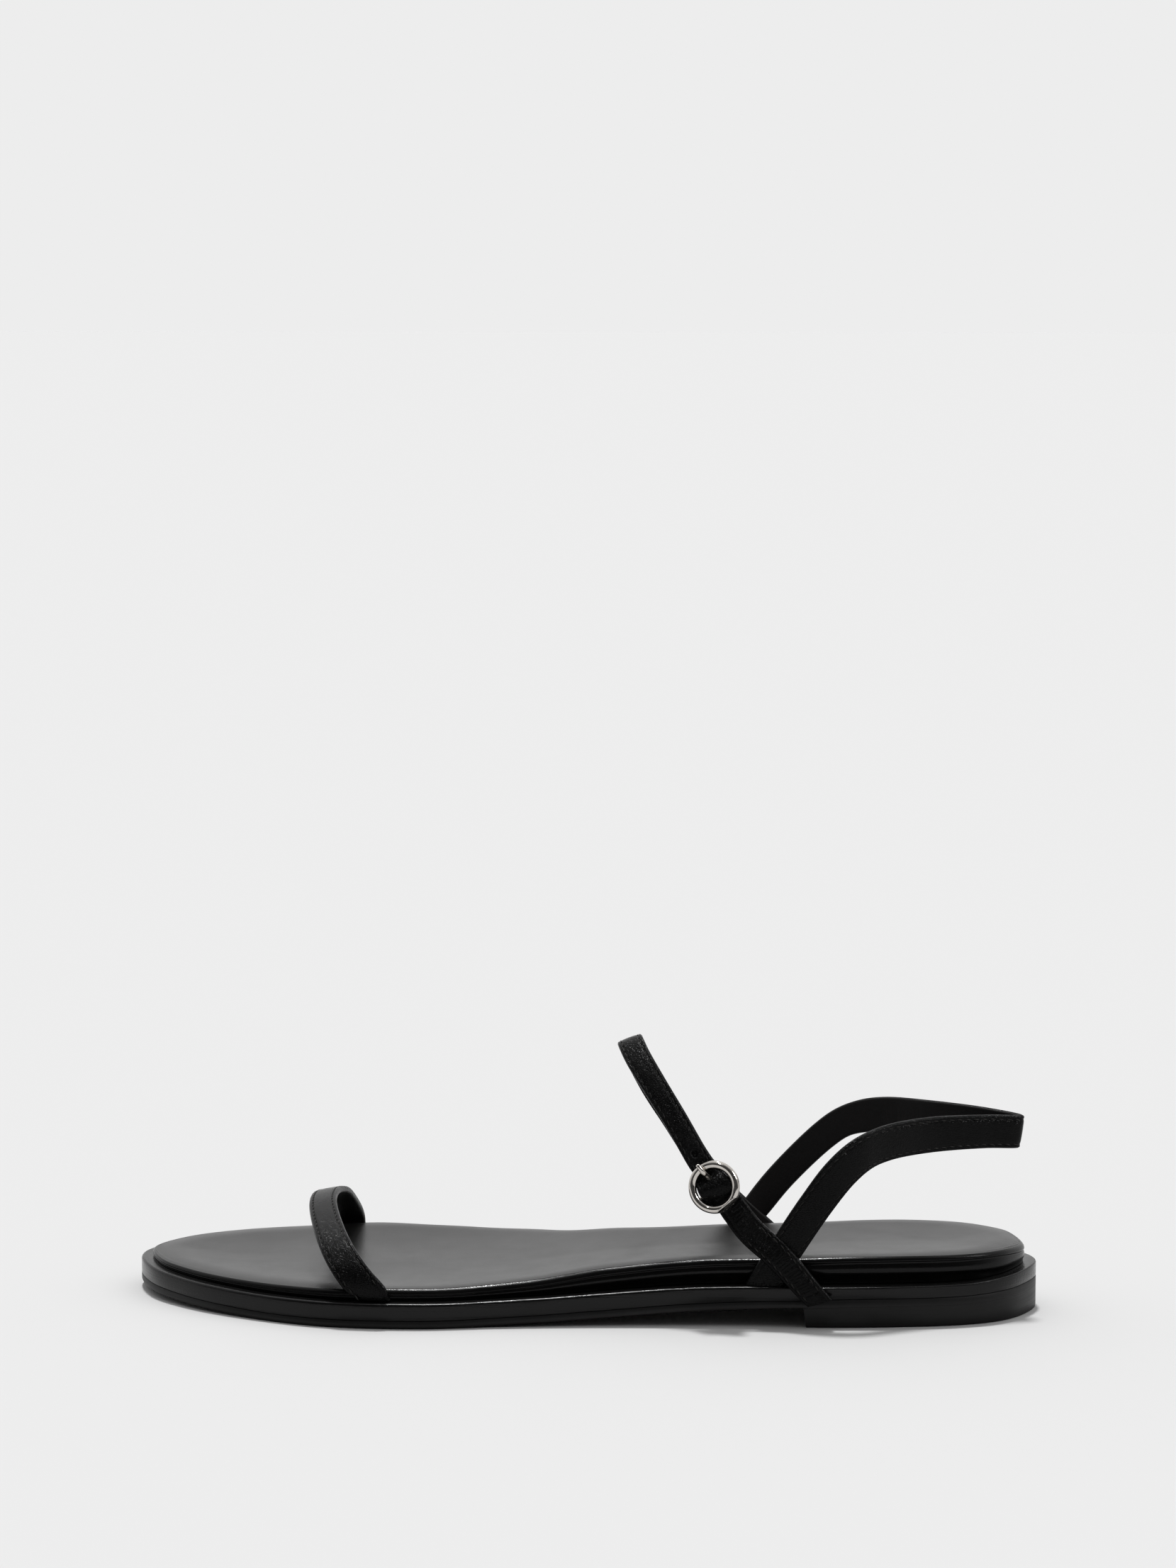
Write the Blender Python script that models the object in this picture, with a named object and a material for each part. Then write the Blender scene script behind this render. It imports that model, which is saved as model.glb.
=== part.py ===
"""Left flat sandal, built from the pieces that a maker puts together.

Outsole, low heel, midsole and padded insole are stacked layers that share one outline.  The upper is a
toe strap and a set of ankle straps, joined where they cross and fastened by a ring buckle.
Lengths are in metres.  The toe points to -X, the outer side of the foot to -Y, and the sole stands on Z = 0.
"""
from typing import Callable, NamedTuple, Sequence

import bmesh
import bpy
import numpy as np
from mathutils import Matrix, Vector

MM = 0.001

# Sole
OUTLINE_POINTS = 104
OUTSOLE_THICKNESS = 2.2 * MM
SEAT_GAP = 0.3 * MM
SOLE_EDGE_BREAK = 0.5 * MM
MIDSOLE_EDGE_RADIUS = 1.2 * MM
INSOLE_RIM = 3.3 * MM
UNDERCUT_DEPTH = 1.2 * MM
BEAD_TOP_RADIUS = 1.8 * MM
HEEL_BREAST = 65.0 * MM
HEEL_BREAST_LEAN = 0.5 * MM
HEEL_STATIONS = 22

# Straps
STRAP_EDGE_BREAK = 0.45 * MM
TOE_STRAP_THICKNESS = 1.9 * MM
TOE_STRAP_PITCH = 0.2
ANKLE_STRAP_THICKNESS = 1.7 * MM
INSTEP_PITCH = 0.4
INSTEP_STRAP_WIDTH = 7.0 * MM
BUCKLE_STRAP_WIDTH = 7.7 * MM
END_CUT_REACH = 14.0 * MM
SOLE_CUT = 0.6

# Buckle, in its own axes: X along the strap towards the sole, Y across it, Z out from the foot
BUCKLE_CENTRE = (40.3 * MM, -27.3 * MM, 38.0 * MM)
BUCKLE_DOWN_STRAP = (0.627, -0.234, -0.743)
RING_RADIUS = 6.4 * MM
RING_WIRE = 1.2 * MM
RING_LIFT = 3.5 * MM
RING_FLAT_HALF_ANGLE = np.radians(34)
BAR_WIRE = 0.6 * MM
BAR_HALF_SPAN = 4.9 * MM
EYE_BORE = 0.9 * MM
LOOP_RADIUS = 1.7 * MM
LOOP_HALF_WIDTH = 3.6 * MM
PRONG_SLOT_HALF_WIDTH = 1.15 * MM
PRONG_WIRE = 0.6 * MM
PRONG_EYE_RADIUS = 1.5 * MM
PRONG_EYE_HALF_WIDTH = 0.8 * MM
PRONG_HOLE_RADIUS = 1.0 * MM


class OutlineRow(NamedTuple):
    """One station of the sole's outline, in mm from the middle line."""

    along: float
    lateral: float
    medial: float


class HeightRow(NamedTuple):
    """Layer heights at one station of the sole, in mm."""

    along: float
    underside: float
    midsole: float
    insole: float
    undercut: float


class StrapRow(NamedTuple):
    """One point of a strap's middle surface and its width there, in mm."""

    along: float
    across: float
    up: float
    width: float


class PassRow(NamedTuple):
    """One point of a strap or wire at the buckle, in mm in the buckle's own axes."""

    reach: float
    lift: float


TOE_TIP = (-128.8, 3.0)
HEEL_TIP = (128.5, 2.0)

#               along  lateral  medial
SOLE_OUTLINE = (
    OutlineRow(-123.0, 14.2, 18.0),
    OutlineRow(-112.0, 25.8, 29.4),
    OutlineRow(-95.0, 36.5, 38.0),
    OutlineRow(-68.0, 46.3, 42.6),
    OutlineRow(-42.0, 46.6, 41.6),
    OutlineRow(-20.0, 41.8, 35.0),
    OutlineRow(2.0, 37.8, 23.4),
    OutlineRow(24.0, 34.9, 17.9),
    OutlineRow(48.0, 33.0, 21.2),
    OutlineRow(72.0, 31.9, 25.0),
    OutlineRow(92.0, 28.8, 28.0),
    OutlineRow(108.0, 24.6, 26.4),
    OutlineRow(118.0, 19.2, 20.6),
    OutlineRow(124.0, 12.2, 14.6),
)

#              along  underside  midsole  insole  undercut
SOLE_HEIGHTS = (
    HeightRow(-128.0, 2.00, 4.6, 2.4, 0.3),
    HeightRow(-104.0, 0.70, 4.8, 2.9, 0.3),
    HeightRow(-80.0, 0.00, 4.9, 3.4, 0.3),
    HeightRow(-35.0, 0.00, 4.9, 3.7, 0.4),
    HeightRow(-12.0, 0.75, 4.8, 4.6, 0.8),
    HeightRow(11.0, 2.25, 4.8, 6.6, 1.6),
    HeightRow(35.0, 4.10, 4.6, 7.2, 2.2),
    HeightRow(60.0, 5.20, 3.9, 7.5, 2.4),
    HeightRow(80.0, 5.80, 3.4, 8.0, 2.4),
    HeightRow(108.0, 5.90, 3.5, 7.7, 2.1),
    HeightRow(119.0, 6.30, 3.8, 6.9, 1.3),
    HeightRow(128.0, 6.80, 4.1, 4.2, 0.6),
)

#          along  across   up   width
TOE_STRAP = (
    StrapRow(-54.6, -45.3, 7.5, 8.0),
    StrapRow(-57.2, -45.0, 13.4, 8.0),
    StrapRow(-60.4, -42.5, 17.8, 8.0),
    StrapRow(-64.8, -36.5, 22.0, 8.0),
    StrapRow(-72.9, -14.0, 27.1, 8.0),
    StrapRow(-74.7, 2.0, 27.6, 8.0),
    StrapRow(-74.0, 15.0, 25.2, 8.0),
    StrapRow(-73.8, 27.0, 20.0, 8.0),
    StrapRow(-73.8, 36.4, 14.9, 8.0),
    StrapRow(-73.8, 39.7, 11.9, 8.0),
    StrapRow(-73.8, 40.6, 7.5, 8.0),
)

HEEL_STRAP = (
    StrapRow(52.2, -30.7, 12.0, 8.2),
    StrapRow(57.2, -30.6, 17.6, 8.2),
    StrapRow(67.8, -29.5, 34.1, 8.6),
    StrapRow(74.5, -27.5, 42.9, 9.4),
    StrapRow(80.2, -24.5, 47.6, 10.2),
    StrapRow(86.8, -19.5, 49.9, 10.4),
    StrapRow(98.3, -11.7, 51.0, 10.2),
    StrapRow(114.0, -5.2, 51.1, 10.0),
    StrapRow(123.4, -1.0, 50.6, 10.0),
    StrapRow(114.0, 3.0, 51.6, 10.0),
    StrapRow(97.6, 9.2, 51.9, 10.2),
    StrapRow(85.2, 16.0, 51.4, 10.0),
    StrapRow(79.0, 18.2, 50.4, 9.6),
    StrapRow(72.9, 19.8, 48.2, 8.8),
    StrapRow(66.7, 21.0, 44.0, 8.2),
    StrapRow(54.4, 22.4, 31.4, 7.8),
    StrapRow(47.0, 22.0, 22.0, 7.8),
    StrapRow(40.4, 18.6, 12.6, 7.8),
)

INSTEP_STRAP_OVER_FOOT = (
    StrapRow(27.5, -21.4, 55.6, 7.2),
    StrapRow(21.3, -16.2, 64.5, 7.3),
    StrapRow(16.6, -10.4, 71.0, 7.4),
    StrapRow(13.8, -4.0, 74.4, 7.4),
    StrapRow(13.4, 2.0, 73.0, 7.4),
    StrapRow(15.7, 8.0, 65.8, 7.4),
    StrapRow(19.3, 12.5, 57.6, 7.4),
    StrapRow(24.6, 16.0, 48.0, 7.0),
    StrapRow(31.2, 19.0, 36.6, 7.0),
    StrapRow(35.8, 20.3, 29.4, 7.0),
    StrapRow(44.2, 20.4, 20.6, 7.0),
    StrapRow(48.6, 19.9, 16.2, 7.0),
    StrapRow(52.4, 20.2, 12.3, 7.0),
)

BUCKLE_STRAP_AT_SOLE = (
    StrapRow(69.6, -33.6, 7.4, 6.6),
    StrapRow(66.4, -33.6, 10.8, 7.0),
    StrapRow(62.8, -33.0, 14.7, 7.4),
    StrapRow(57.6, -32.2, 20.2, 7.8),
)

BUCKLE_STRAP_AT_RING = (
    PassRow(15.0, -0.95),
    PassRow(8.0, -0.95),
    PassRow(0.4, -0.95),
)

INSTEP_STRAP_AT_RING = (
    PassRow(13.8, 1.05),
    PassRow(9.0, 1.05),
    PassRow(5.8, 1.05),
    PassRow(3.7, 1.35),
    PassRow(0.0, 2.95),
    PassRow(-3.7, 1.35),
    PassRow(-5.8, 1.05),
    PassRow(-9.5, 1.05),
)

PRONG = (
    PassRow(-1.1, 0.6),
    PassRow(-2.6, 2.1),
    PassRow(-4.1, 3.9),
    PassRow(-5.0, 5.1),
    PassRow(-6.4, 5.7),
    PassRow(-7.6, 5.75),
)


class Levels(NamedTuple):
    """Heights of the sole's layers along a row of stations."""

    underside: np.ndarray
    outsole_top: np.ndarray
    midsole: np.ndarray
    midsole_top: np.ndarray
    insole: np.ndarray
    bead: np.ndarray
    top: np.ndarray


# Curves through the tables
def column(table: Sequence[NamedTuple], name: str) -> np.ndarray:
    """One named column of a table, in metres."""
    return np.array([getattr(row, name) for row in table]) * MM


def smooth(table: Sequence[NamedTuple], name: str, along: np.ndarray) -> np.ndarray:
    """A table column at any stations, by a cubic that never overshoots its rows."""
    x, y = column(table, "along"), column(table, name)
    step = np.diff(x)
    slope = np.diff(y) / step
    before, after = slope[:-1], slope[1:]
    rising = before * after > 0
    total = np.where(rising, before + after, 1.0)
    inner = np.where(rising, 2 * before * after / total, 0.0)
    tangent = np.concatenate([slope[:1], inner, slope[-1:]])
    at = np.clip(along, x[0], x[-1])
    i = np.clip(np.searchsorted(x, at, side="right") - 1, 0, len(step) - 1)
    t = (at - x[i]) / step[i]
    start = (1 + 2 * t) * (1 - t) ** 2 * y[i] + t * (1 - t) ** 2 * step[i] * tangent[i]
    end = t ** 2 * (3 - 2 * t) * y[i + 1] - t ** 2 * (1 - t) * step[i] * tangent[i + 1]
    return start + end


def curve_through(points: np.ndarray, count: int, closed: bool = False) -> np.ndarray:
    """Evenly spaced points on a smooth curve through the given ones; a closed one starts half a step on."""
    if closed:
        knots = np.vstack([points[-1], points, points[0], points[1]])
    else:
        knots = np.vstack([2 * points[0] - points[1], points, 2 * points[-1] - points[-2]])
    fine = []
    for a, b, c, d in zip(knots, knots[1:], knots[2:], knots[3:]):
        gaps = [np.linalg.norm(q[:3] - p[:3]) ** 0.5 for p, q in ((a, b), (b, c), (c, d))]
        t0, t1, t2, t3 = np.cumsum([0.0] + gaps)
        t = np.linspace(t1, t2, 40, endpoint=False)[:, None]
        ab = (t1 - t) / (t1 - t0) * a + (t - t0) / (t1 - t0) * b
        bc = (t2 - t) / (t2 - t1) * b + (t - t1) / (t2 - t1) * c
        cd = (t3 - t) / (t3 - t2) * c + (t - t2) / (t3 - t2) * d
        abc = (t2 - t) / (t2 - t0) * ab + (t - t0) / (t2 - t0) * bc
        bcd = (t3 - t) / (t3 - t1) * bc + (t - t1) / (t3 - t1) * cd
        fine.append((t2 - t) / (t2 - t1) * abc + (t - t1) / (t2 - t1) * bcd)
    fine = np.vstack(fine + [knots[-2]])
    run = np.concatenate([[0.0], np.cumsum(np.linalg.norm(np.diff(fine[:, :3], axis=0), axis=1))])
    share = (np.arange(count) + 0.5) / count if closed else np.linspace(0.0, 1.0, count)
    return np.stack([np.interp(share * run[-1], run, values) for values in fine.T], axis=1)


# Sole
def sole_outline(inset: float = 0.0) -> np.ndarray:
    """The sole's outline from the toe along the outer side to the heel and back, moved in by inset."""
    along = column(SOLE_OUTLINE, "along")
    lateral = np.stack([along, -column(SOLE_OUTLINE, "lateral")], axis=1)
    medial = np.stack([along, column(SOLE_OUTLINE, "medial")], axis=1)
    toe, heel = np.array([TOE_TIP]) * MM, np.array([HEEL_TIP]) * MM
    ring = curve_through(np.vstack([toe, lateral, heel, medial[::-1]]), OUTLINE_POINTS, closed=True)
    run = np.roll(ring, -1, axis=0) - np.roll(ring, 1, axis=0)
    run /= np.linalg.norm(run, axis=1, keepdims=True)
    inward = np.stack([-run[:, 1], run[:, 0]], axis=1)
    return ring + inward * inset


def sole_levels(along: np.ndarray) -> Levels:
    """Heights of all layers at the given stations."""
    underside = smooth(SOLE_HEIGHTS, "underside", along)
    outsole_top = underside + OUTSOLE_THICKNESS
    midsole = outsole_top + SEAT_GAP
    midsole_top = midsole + smooth(SOLE_HEIGHTS, "midsole", along) - SEAT_GAP
    insole = midsole_top + SEAT_GAP
    bead = insole + smooth(SOLE_HEIGHTS, "undercut", along)
    top = insole + smooth(SOLE_HEIGHTS, "insole", along)
    return Levels(underside, outsole_top, midsole, midsole_top, insole, bead, top)


def ring_at(inset: float, height: Callable[[Levels], np.ndarray]) -> np.ndarray:
    """One ring of a sole layer: the outline moved in, at a height taken from the layer levels."""
    ring = sole_outline(inset)
    return np.column_stack([ring, height(sole_levels(ring[:, 0]))])


def new_object(name: str, bm: bmesh.types.BMesh) -> bpy.types.Object:
    """Turns a bmesh into a named object with its faces turned outwards."""
    bmesh.ops.recalc_face_normals(bm, faces=bm.faces)
    mesh = bpy.data.meshes.new(name)
    bm.to_mesh(mesh)
    bm.free()
    piece = bpy.data.objects.new(name, mesh)
    bpy.context.scene.collection.objects.link(piece)
    return piece


def layer(name: str, rings: Sequence[np.ndarray]) -> bpy.types.Object:
    """A closed solid from rings, bottom first; its two ends are closed by strips from side to side."""
    bm = bmesh.new()
    loops = [[bm.verts.new(point) for point in ring] for ring in rings]
    count = len(loops[0])
    for lower, upper in zip(loops, loops[1:]):
        for i in range(count):
            j = (i + 1) % count
            bm.faces.new((lower[i], lower[j], upper[j], upper[i]))
    for end in (loops[0], loops[-1]):
        for i in range(count // 2 - 1):
            bm.faces.new((end[i], end[i + 1], end[count - 2 - i], end[count - 1 - i]))
    return new_object(name, bm)


def build_outsole() -> bpy.types.Object:
    """Thin sheet under the whole foot, with its lower edge broken."""
    return layer("outsole", (
        ring_at(SOLE_EDGE_BREAK, lambda at: at.underside),
        ring_at(0.0, lambda at: at.underside + SOLE_EDGE_BREAK),
        ring_at(0.0, lambda at: at.outsole_top),
    ))


def build_midsole() -> bpy.types.Object:
    """Band on the outsole with a rounded upper edge."""
    rings = [ring_at(0.0, lambda at: at.midsole)]
    for turn in np.radians((0, 30, 60, 90)):
        inset = MIDSOLE_EDGE_RADIUS * (1 - np.cos(turn))
        drop = MIDSOLE_EDGE_RADIUS * (1 - np.sin(turn))
        rings.append(ring_at(inset, lambda at, drop=drop: at.midsole_top - drop))
    return layer("midsole", rings)


def build_insole() -> bpy.types.Object:
    """Padded footbed: an undercut foot, then a bead with a rounded upper edge."""
    foot = INSOLE_RIM + UNDERCUT_DEPTH
    rings = [
        ring_at(foot, lambda at: at.insole),
        ring_at(foot, lambda at: at.bead),
        ring_at(INSOLE_RIM + 0.3 * UNDERCUT_DEPTH, lambda at: at.bead + 0.04 * (at.top - at.bead)),
        ring_at(INSOLE_RIM, lambda at: at.bead + 0.25 * (at.top - at.bead)),
    ]
    for turn in np.radians((0, 30, 60, 90)):
        inset = INSOLE_RIM + BEAD_TOP_RADIUS * (1 - np.cos(turn))
        share = 0.55 * (1 - np.sin(turn))
        rings.append(ring_at(inset, lambda at, share=share: at.top - share * (at.top - at.bead)))
    return layer("insole", rings)


def heel_ring(inset: float, breast: float) -> np.ndarray:
    """Outline of the heel block: the sole's outline behind the breast line."""
    ring = sole_outline(inset)
    half = len(ring) // 2
    lateral, medial = ring[:half], ring[half:][::-1]
    tip = 0.5 * (lateral[-1, 0] + medial[-1, 0])
    along = breast + (tip - breast) * np.sin(np.linspace(0.0, 0.5 * np.pi, HEEL_STATIONS))
    outer = np.stack([along, np.interp(along, lateral[:, 0], lateral[:, 1])], axis=1)
    inner = np.stack([along, np.interp(along, medial[:, 0], medial[:, 1])], axis=1)
    return np.vstack([outer, inner[::-1]])


def build_heel() -> bpy.types.Object:
    """Low block under the rear of the outsole, flat on the floor, with a leaning breast."""
    foot = heel_ring(SOLE_EDGE_BREAK, HEEL_BREAST + HEEL_BREAST_LEAN)
    edge = heel_ring(0.0, HEEL_BREAST + HEEL_BREAST_LEAN)
    top = heel_ring(0.0, HEEL_BREAST)
    seat = smooth(SOLE_HEIGHTS, "underside", top[:, 0]) - SEAT_GAP
    return layer("heel", (
        np.column_stack([foot, np.zeros(len(foot))]),
        np.column_stack([edge, np.full(len(edge), SOLE_EDGE_BREAK)]),
        np.column_stack([top, seat]),
    ))


# Straps
def buckle_axes() -> Matrix:
    """Placement of the buckle: X down the strap, Y across it, Z out from the foot."""
    down = Vector(BUCKLE_DOWN_STRAP).normalized()
    out = Vector(over_foot(INSTEP_PITCH)(-np.array(down)))
    out = (out - out.dot(down) * down).normalized()
    turn = Matrix((down, out.cross(down), out)).transposed()
    return Matrix.Translation(BUCKLE_CENTRE) @ turn.to_4x4()


def route(rows: Sequence[StrapRow]) -> np.ndarray:
    """Points and widths of a strap's middle surface."""
    return np.column_stack([column(rows, name) for name in StrapRow._fields])


def route_at_buckle(rows: Sequence[PassRow], width: float) -> np.ndarray:
    """The same for a stretch that is given in the buckle's own axes."""
    axes = buckle_axes()
    points = [axes @ Vector((row.reach * MM, 0.0, row.lift * MM)) for row in rows]
    return np.array([(*point, width) for point in points])


def over_foot(pitch: float) -> Callable[[np.ndarray], np.ndarray]:
    """Outward direction of a strap that runs from the outer side over the foot to the inner side."""
    def outward(run: np.ndarray) -> np.ndarray:
        return np.array([-pitch * max(run[1], 0.0), -run[2], run[1]])
    return outward


def around_heel(run: np.ndarray) -> np.ndarray:
    """Outward direction of a strap that runs level around the back of the heel."""
    return np.array([run[1], -run[0], 0.0])


def end_cut(points: np.ndarray, level: tuple[float, float]) -> np.ndarray:
    """How much of a level cut each station of a strap takes, fading in from the two ends."""
    run = np.concatenate([[0.0], np.cumsum(np.linalg.norm(np.diff(points[:, :3], axis=0), axis=1))])
    start = level[0] * np.clip(1 - run / END_CUT_REACH, 0, 1)
    end = level[1] * np.clip(1 - (run[-1] - run) / END_CUT_REACH, 0, 1)
    return start + end


def strap(name: str, path: np.ndarray, thickness: float, outward: Callable, stations: int,
          level: tuple[float, float] = (1.0, 1.0)) -> bpy.types.Object:
    """A leather strip of even thickness swept along its route, with broken edges.

    level says how far each end is cut level with the sole (1) or square to the strip (0).
    """
    points = curve_through(path, stations)
    runs = np.gradient(points[:, :3], axis=0)
    bm = bmesh.new()
    loops = []
    for point, run, cut_share in zip(points, runs, end_cut(points, level)):
        run = run / np.linalg.norm(run)
        out = outward(run)
        out = out - out.dot(run) * run
        out /= np.linalg.norm(out)
        side = np.cross(run, out)
        half, deep, cut = 0.5 * point[3], 0.5 * thickness, STRAP_EDGE_BREAK
        section = (
            (-half + cut, -deep), (half - cut, -deep), (half, cut - deep), (half, deep - cut),
            (half - cut, deep), (cut - half, deep), (-half, deep - cut), (-half, cut - deep),
        )
        offsets = [a * side + b * out for a, b in section]
        if cut_share > 0:
            offsets = [offset - cut_share * offset[2] / run[2] * run for offset in offsets]
        loops.append([bm.verts.new(point[:3] + offset) for offset in offsets])
    for lower, upper in zip(loops, loops[1:]):
        for i, j in zip(range(8), (1, 2, 3, 4, 5, 6, 7, 0)):
            bm.faces.new((lower[i], lower[j], upper[j], upper[i]))
    bm.faces.new(loops[0])
    bm.faces.new(loops[-1])
    return new_object(name, bm)


def rod(name: str, start: Vector, end: Vector, radius: float) -> bpy.types.Object:
    """A round rod between two points."""
    bm = bmesh.new()
    axis = end - start
    place = Matrix.Translation(0.5 * (start + end)) @ axis.to_track_quat("Z", "Y").to_matrix().to_4x4()
    bmesh.ops.create_cone(bm, cap_ends=True, segments=16, radius1=radius, radius2=radius,
                          depth=axis.length, matrix=place)
    return new_object(name, bm)


def block(name: str, low: Sequence[float], high: Sequence[float]) -> bpy.types.Object:
    """A box between two corners."""
    bm = bmesh.new()
    centre = 0.5 * (Vector(low) + Vector(high))
    size = Vector(high) - Vector(low)
    bmesh.ops.create_cube(bm, size=1.0, matrix=Matrix.Translation(centre) @ Matrix.Diagonal((*size, 1.0)))
    return new_object(name, bm)


def combine(base: bpy.types.Object, tool: bpy.types.Object, operation: str) -> None:
    """Joins a piece to base or cuts it out of base, and removes the piece."""
    boolean = base.modifiers.new(operation.title(), "BOOLEAN")
    boolean.operation = operation
    boolean.object = tool
    bpy.context.view_layer.update()
    result = base.evaluated_get(bpy.context.evaluated_depsgraph_get())
    mesh = bpy.data.meshes.new_from_object(result)
    base.modifiers.clear()
    base.data = mesh
    mesh.name = base.name
    bpy.data.objects.remove(tool)


def build_toe_strap() -> bpy.types.Object:
    """Strap across the toes, seated on the midsole beside the insole at both ends."""
    return strap("toe_strap", route(TOE_STRAP), TOE_STRAP_THICKNESS, over_foot(TOE_STRAP_PITCH), 48)


def build_buckle_strap() -> bpy.types.Object:
    """Short strap from the outside of the midsole to the buckle, with a slotted loop around the bar."""
    path = np.vstack([route(BUCKLE_STRAP_AT_SOLE), route_at_buckle(BUCKLE_STRAP_AT_RING, BUCKLE_STRAP_WIDTH)])
    piece = strap("buckle_strap", path, ANKLE_STRAP_THICKNESS, over_foot(INSTEP_PITCH), 26, level=(SOLE_CUT, 0.0))
    axes = buckle_axes()
    loop = rod("loop", Vector((0, -LOOP_HALF_WIDTH, 0)), Vector((0, LOOP_HALF_WIDTH, 0)), LOOP_RADIUS)
    bore = rod("bore", Vector((0, -2 * LOOP_HALF_WIDTH, 0)), Vector((0, 2 * LOOP_HALF_WIDTH, 0)), EYE_BORE)
    slot = block("slot", (-0.003, -PRONG_SLOT_HALF_WIDTH, -0.003), (0.0022, PRONG_SLOT_HALF_WIDTH, 0.003))
    for tool, operation in ((loop, "UNION"), (bore, "DIFFERENCE"), (slot, "DIFFERENCE")):
        tool.matrix_world = axes
        combine(piece, tool, operation)
    return piece


def build_instep_strap() -> bpy.types.Object:
    """Long strap from its tail through the buckle and over the instep to the inner side of the midsole."""
    path = np.vstack([route_at_buckle(INSTEP_STRAP_AT_RING, INSTEP_STRAP_WIDTH), route(INSTEP_STRAP_OVER_FOOT)])
    piece = strap("instep_strap", path, ANKLE_STRAP_THICKNESS, over_foot(INSTEP_PITCH), 112, level=(0.0, 1.0))
    start, end = (Vector((row.reach * MM, 0.0, row.lift * MM)) for row in (PRONG[0], PRONG[2]))
    hole = rod("hole", start, end, PRONG_HOLE_RADIUS)
    hole.matrix_world = buckle_axes()
    combine(piece, hole, "DIFFERENCE")
    return piece


def build_ankle_straps() -> bpy.types.Object:
    """Heel strap with the buckle strap and the instep strap joined to it where they cross."""
    piece = strap("ankle_straps", route(HEEL_STRAP), ANKLE_STRAP_THICKNESS, around_heel, 108)
    combine(piece, build_buckle_strap(), "UNION")
    combine(piece, build_instep_strap(), "UNION")
    return piece


# Buckle
def wire(name: str, points: Sequence[Vector], radius: float, cyclic: bool = False) -> bpy.types.Object:
    """A round wire along a line of points."""
    curve = bpy.data.curves.new(name, "CURVE")
    curve.dimensions = "3D"
    curve.bevel_depth = radius
    curve.bevel_resolution = 3
    curve.use_fill_caps = not cyclic
    line = curve.splines.new("POLY")
    line.points.add(len(points) - 1)
    line.use_cyclic_u = cyclic
    for spot, point in zip(line.points, points):
        spot.co = (*point, 1.0)
    path = bpy.data.objects.new(name + "_path", curve)
    bpy.context.scene.collection.objects.link(path)
    bpy.context.view_layer.update()
    mesh = bpy.data.meshes.new_from_object(path.evaluated_get(bpy.context.evaluated_depsgraph_get()))
    bpy.data.objects.remove(path)
    bm = bmesh.new()
    bm.from_mesh(mesh)
    bmesh.ops.remove_doubles(bm, verts=bm.verts, dist=0.01 * MM)
    return new_object(name, bm)


def ring_line() -> list[Vector]:
    """Middle line of the ring: a circle with one straight side towards the sole."""
    arc = np.linspace(RING_FLAT_HALF_ANGLE, 2 * np.pi - RING_FLAT_HALF_ANGLE, 40)
    return [Vector((RING_RADIUS * np.cos(a), RING_RADIUS * np.sin(a), RING_LIFT)) for a in arc]


def bar_line() -> list[Vector]:
    """Middle line of the sunken bar, from side to side of the ring."""
    half = [Vector((0.0, BAR_HALF_SPAN, 0.0)), Vector((0.0, BAR_HALF_SPAN + 0.6 * MM, 0.7 * MM)),
            Vector((0.0, RING_RADIUS, RING_LIFT))]
    other = [Vector((point.x, -point.y, point.z)) for point in half]
    return other[::-1] + half


def build_buckle_frame() -> bpy.types.Object:
    """Polished ring with its bar."""
    piece = wire("buckle_frame", ring_line(), RING_WIRE, cyclic=True)
    combine(piece, wire("bar", bar_line(), BAR_WIRE), "UNION")
    piece.matrix_world = buckle_axes()
    return piece


def build_buckle_prong() -> bpy.types.Object:
    """Wire tongue that turns on the bar and lies on the ring."""
    half = Vector((0.0, PRONG_EYE_HALF_WIDTH, 0.0))
    piece = rod("buckle_prong", -half, half, PRONG_EYE_RADIUS)
    path = np.column_stack([column(PRONG, "reach"), np.zeros(len(PRONG)), column(PRONG, "lift")])
    points = [Vector(point) for point in curve_through(path, 16)]
    combine(piece, wire("tongue", points, PRONG_WIRE), "UNION")
    combine(piece, rod("bore", -4 * half, 4 * half, EYE_BORE), "DIFFERENCE")
    piece.matrix_world = buckle_axes()
    return piece


# Finishes
class Finish(NamedTuple):
    """Colour and surface of one material."""

    name: str
    colour: tuple[float, float, float]
    roughness: float
    metallic: float


STRAP_LEATHER = Finish("strap_leather", (0.012, 0.012, 0.012), 0.34, 0.0)
FOOTBED_LEATHER = Finish("footbed_leather", (0.022, 0.022, 0.021), 0.42, 0.0)
MIDSOLE_LEATHER = Finish("midsole_leather", (0.015, 0.015, 0.015), 0.46, 0.0)
SOLE_SHEET = Finish("sole_sheet", (0.014, 0.014, 0.014), 0.5, 0.0)
HEEL_STACK = Finish("heel_stack", (0.014, 0.014, 0.014), 0.48, 0.0)
NICKEL = Finish("nickel", (0.62, 0.61, 0.59), 0.16, 1.0)


def apply_finish(piece: bpy.types.Object, finish: Finish) -> None:
    """Gives a piece its own material."""
    material = bpy.data.materials.new(f"{piece.name}_{finish.name}")
    material.use_nodes = True
    shader = material.node_tree.nodes["Principled BSDF"]
    shader.inputs["Base Color"].default_value = (*finish.colour, 1.0)
    shader.inputs["Roughness"].default_value = finish.roughness
    shader.inputs["Metallic"].default_value = finish.metallic
    piece.data.materials.clear()
    piece.data.materials.append(material)


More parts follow.
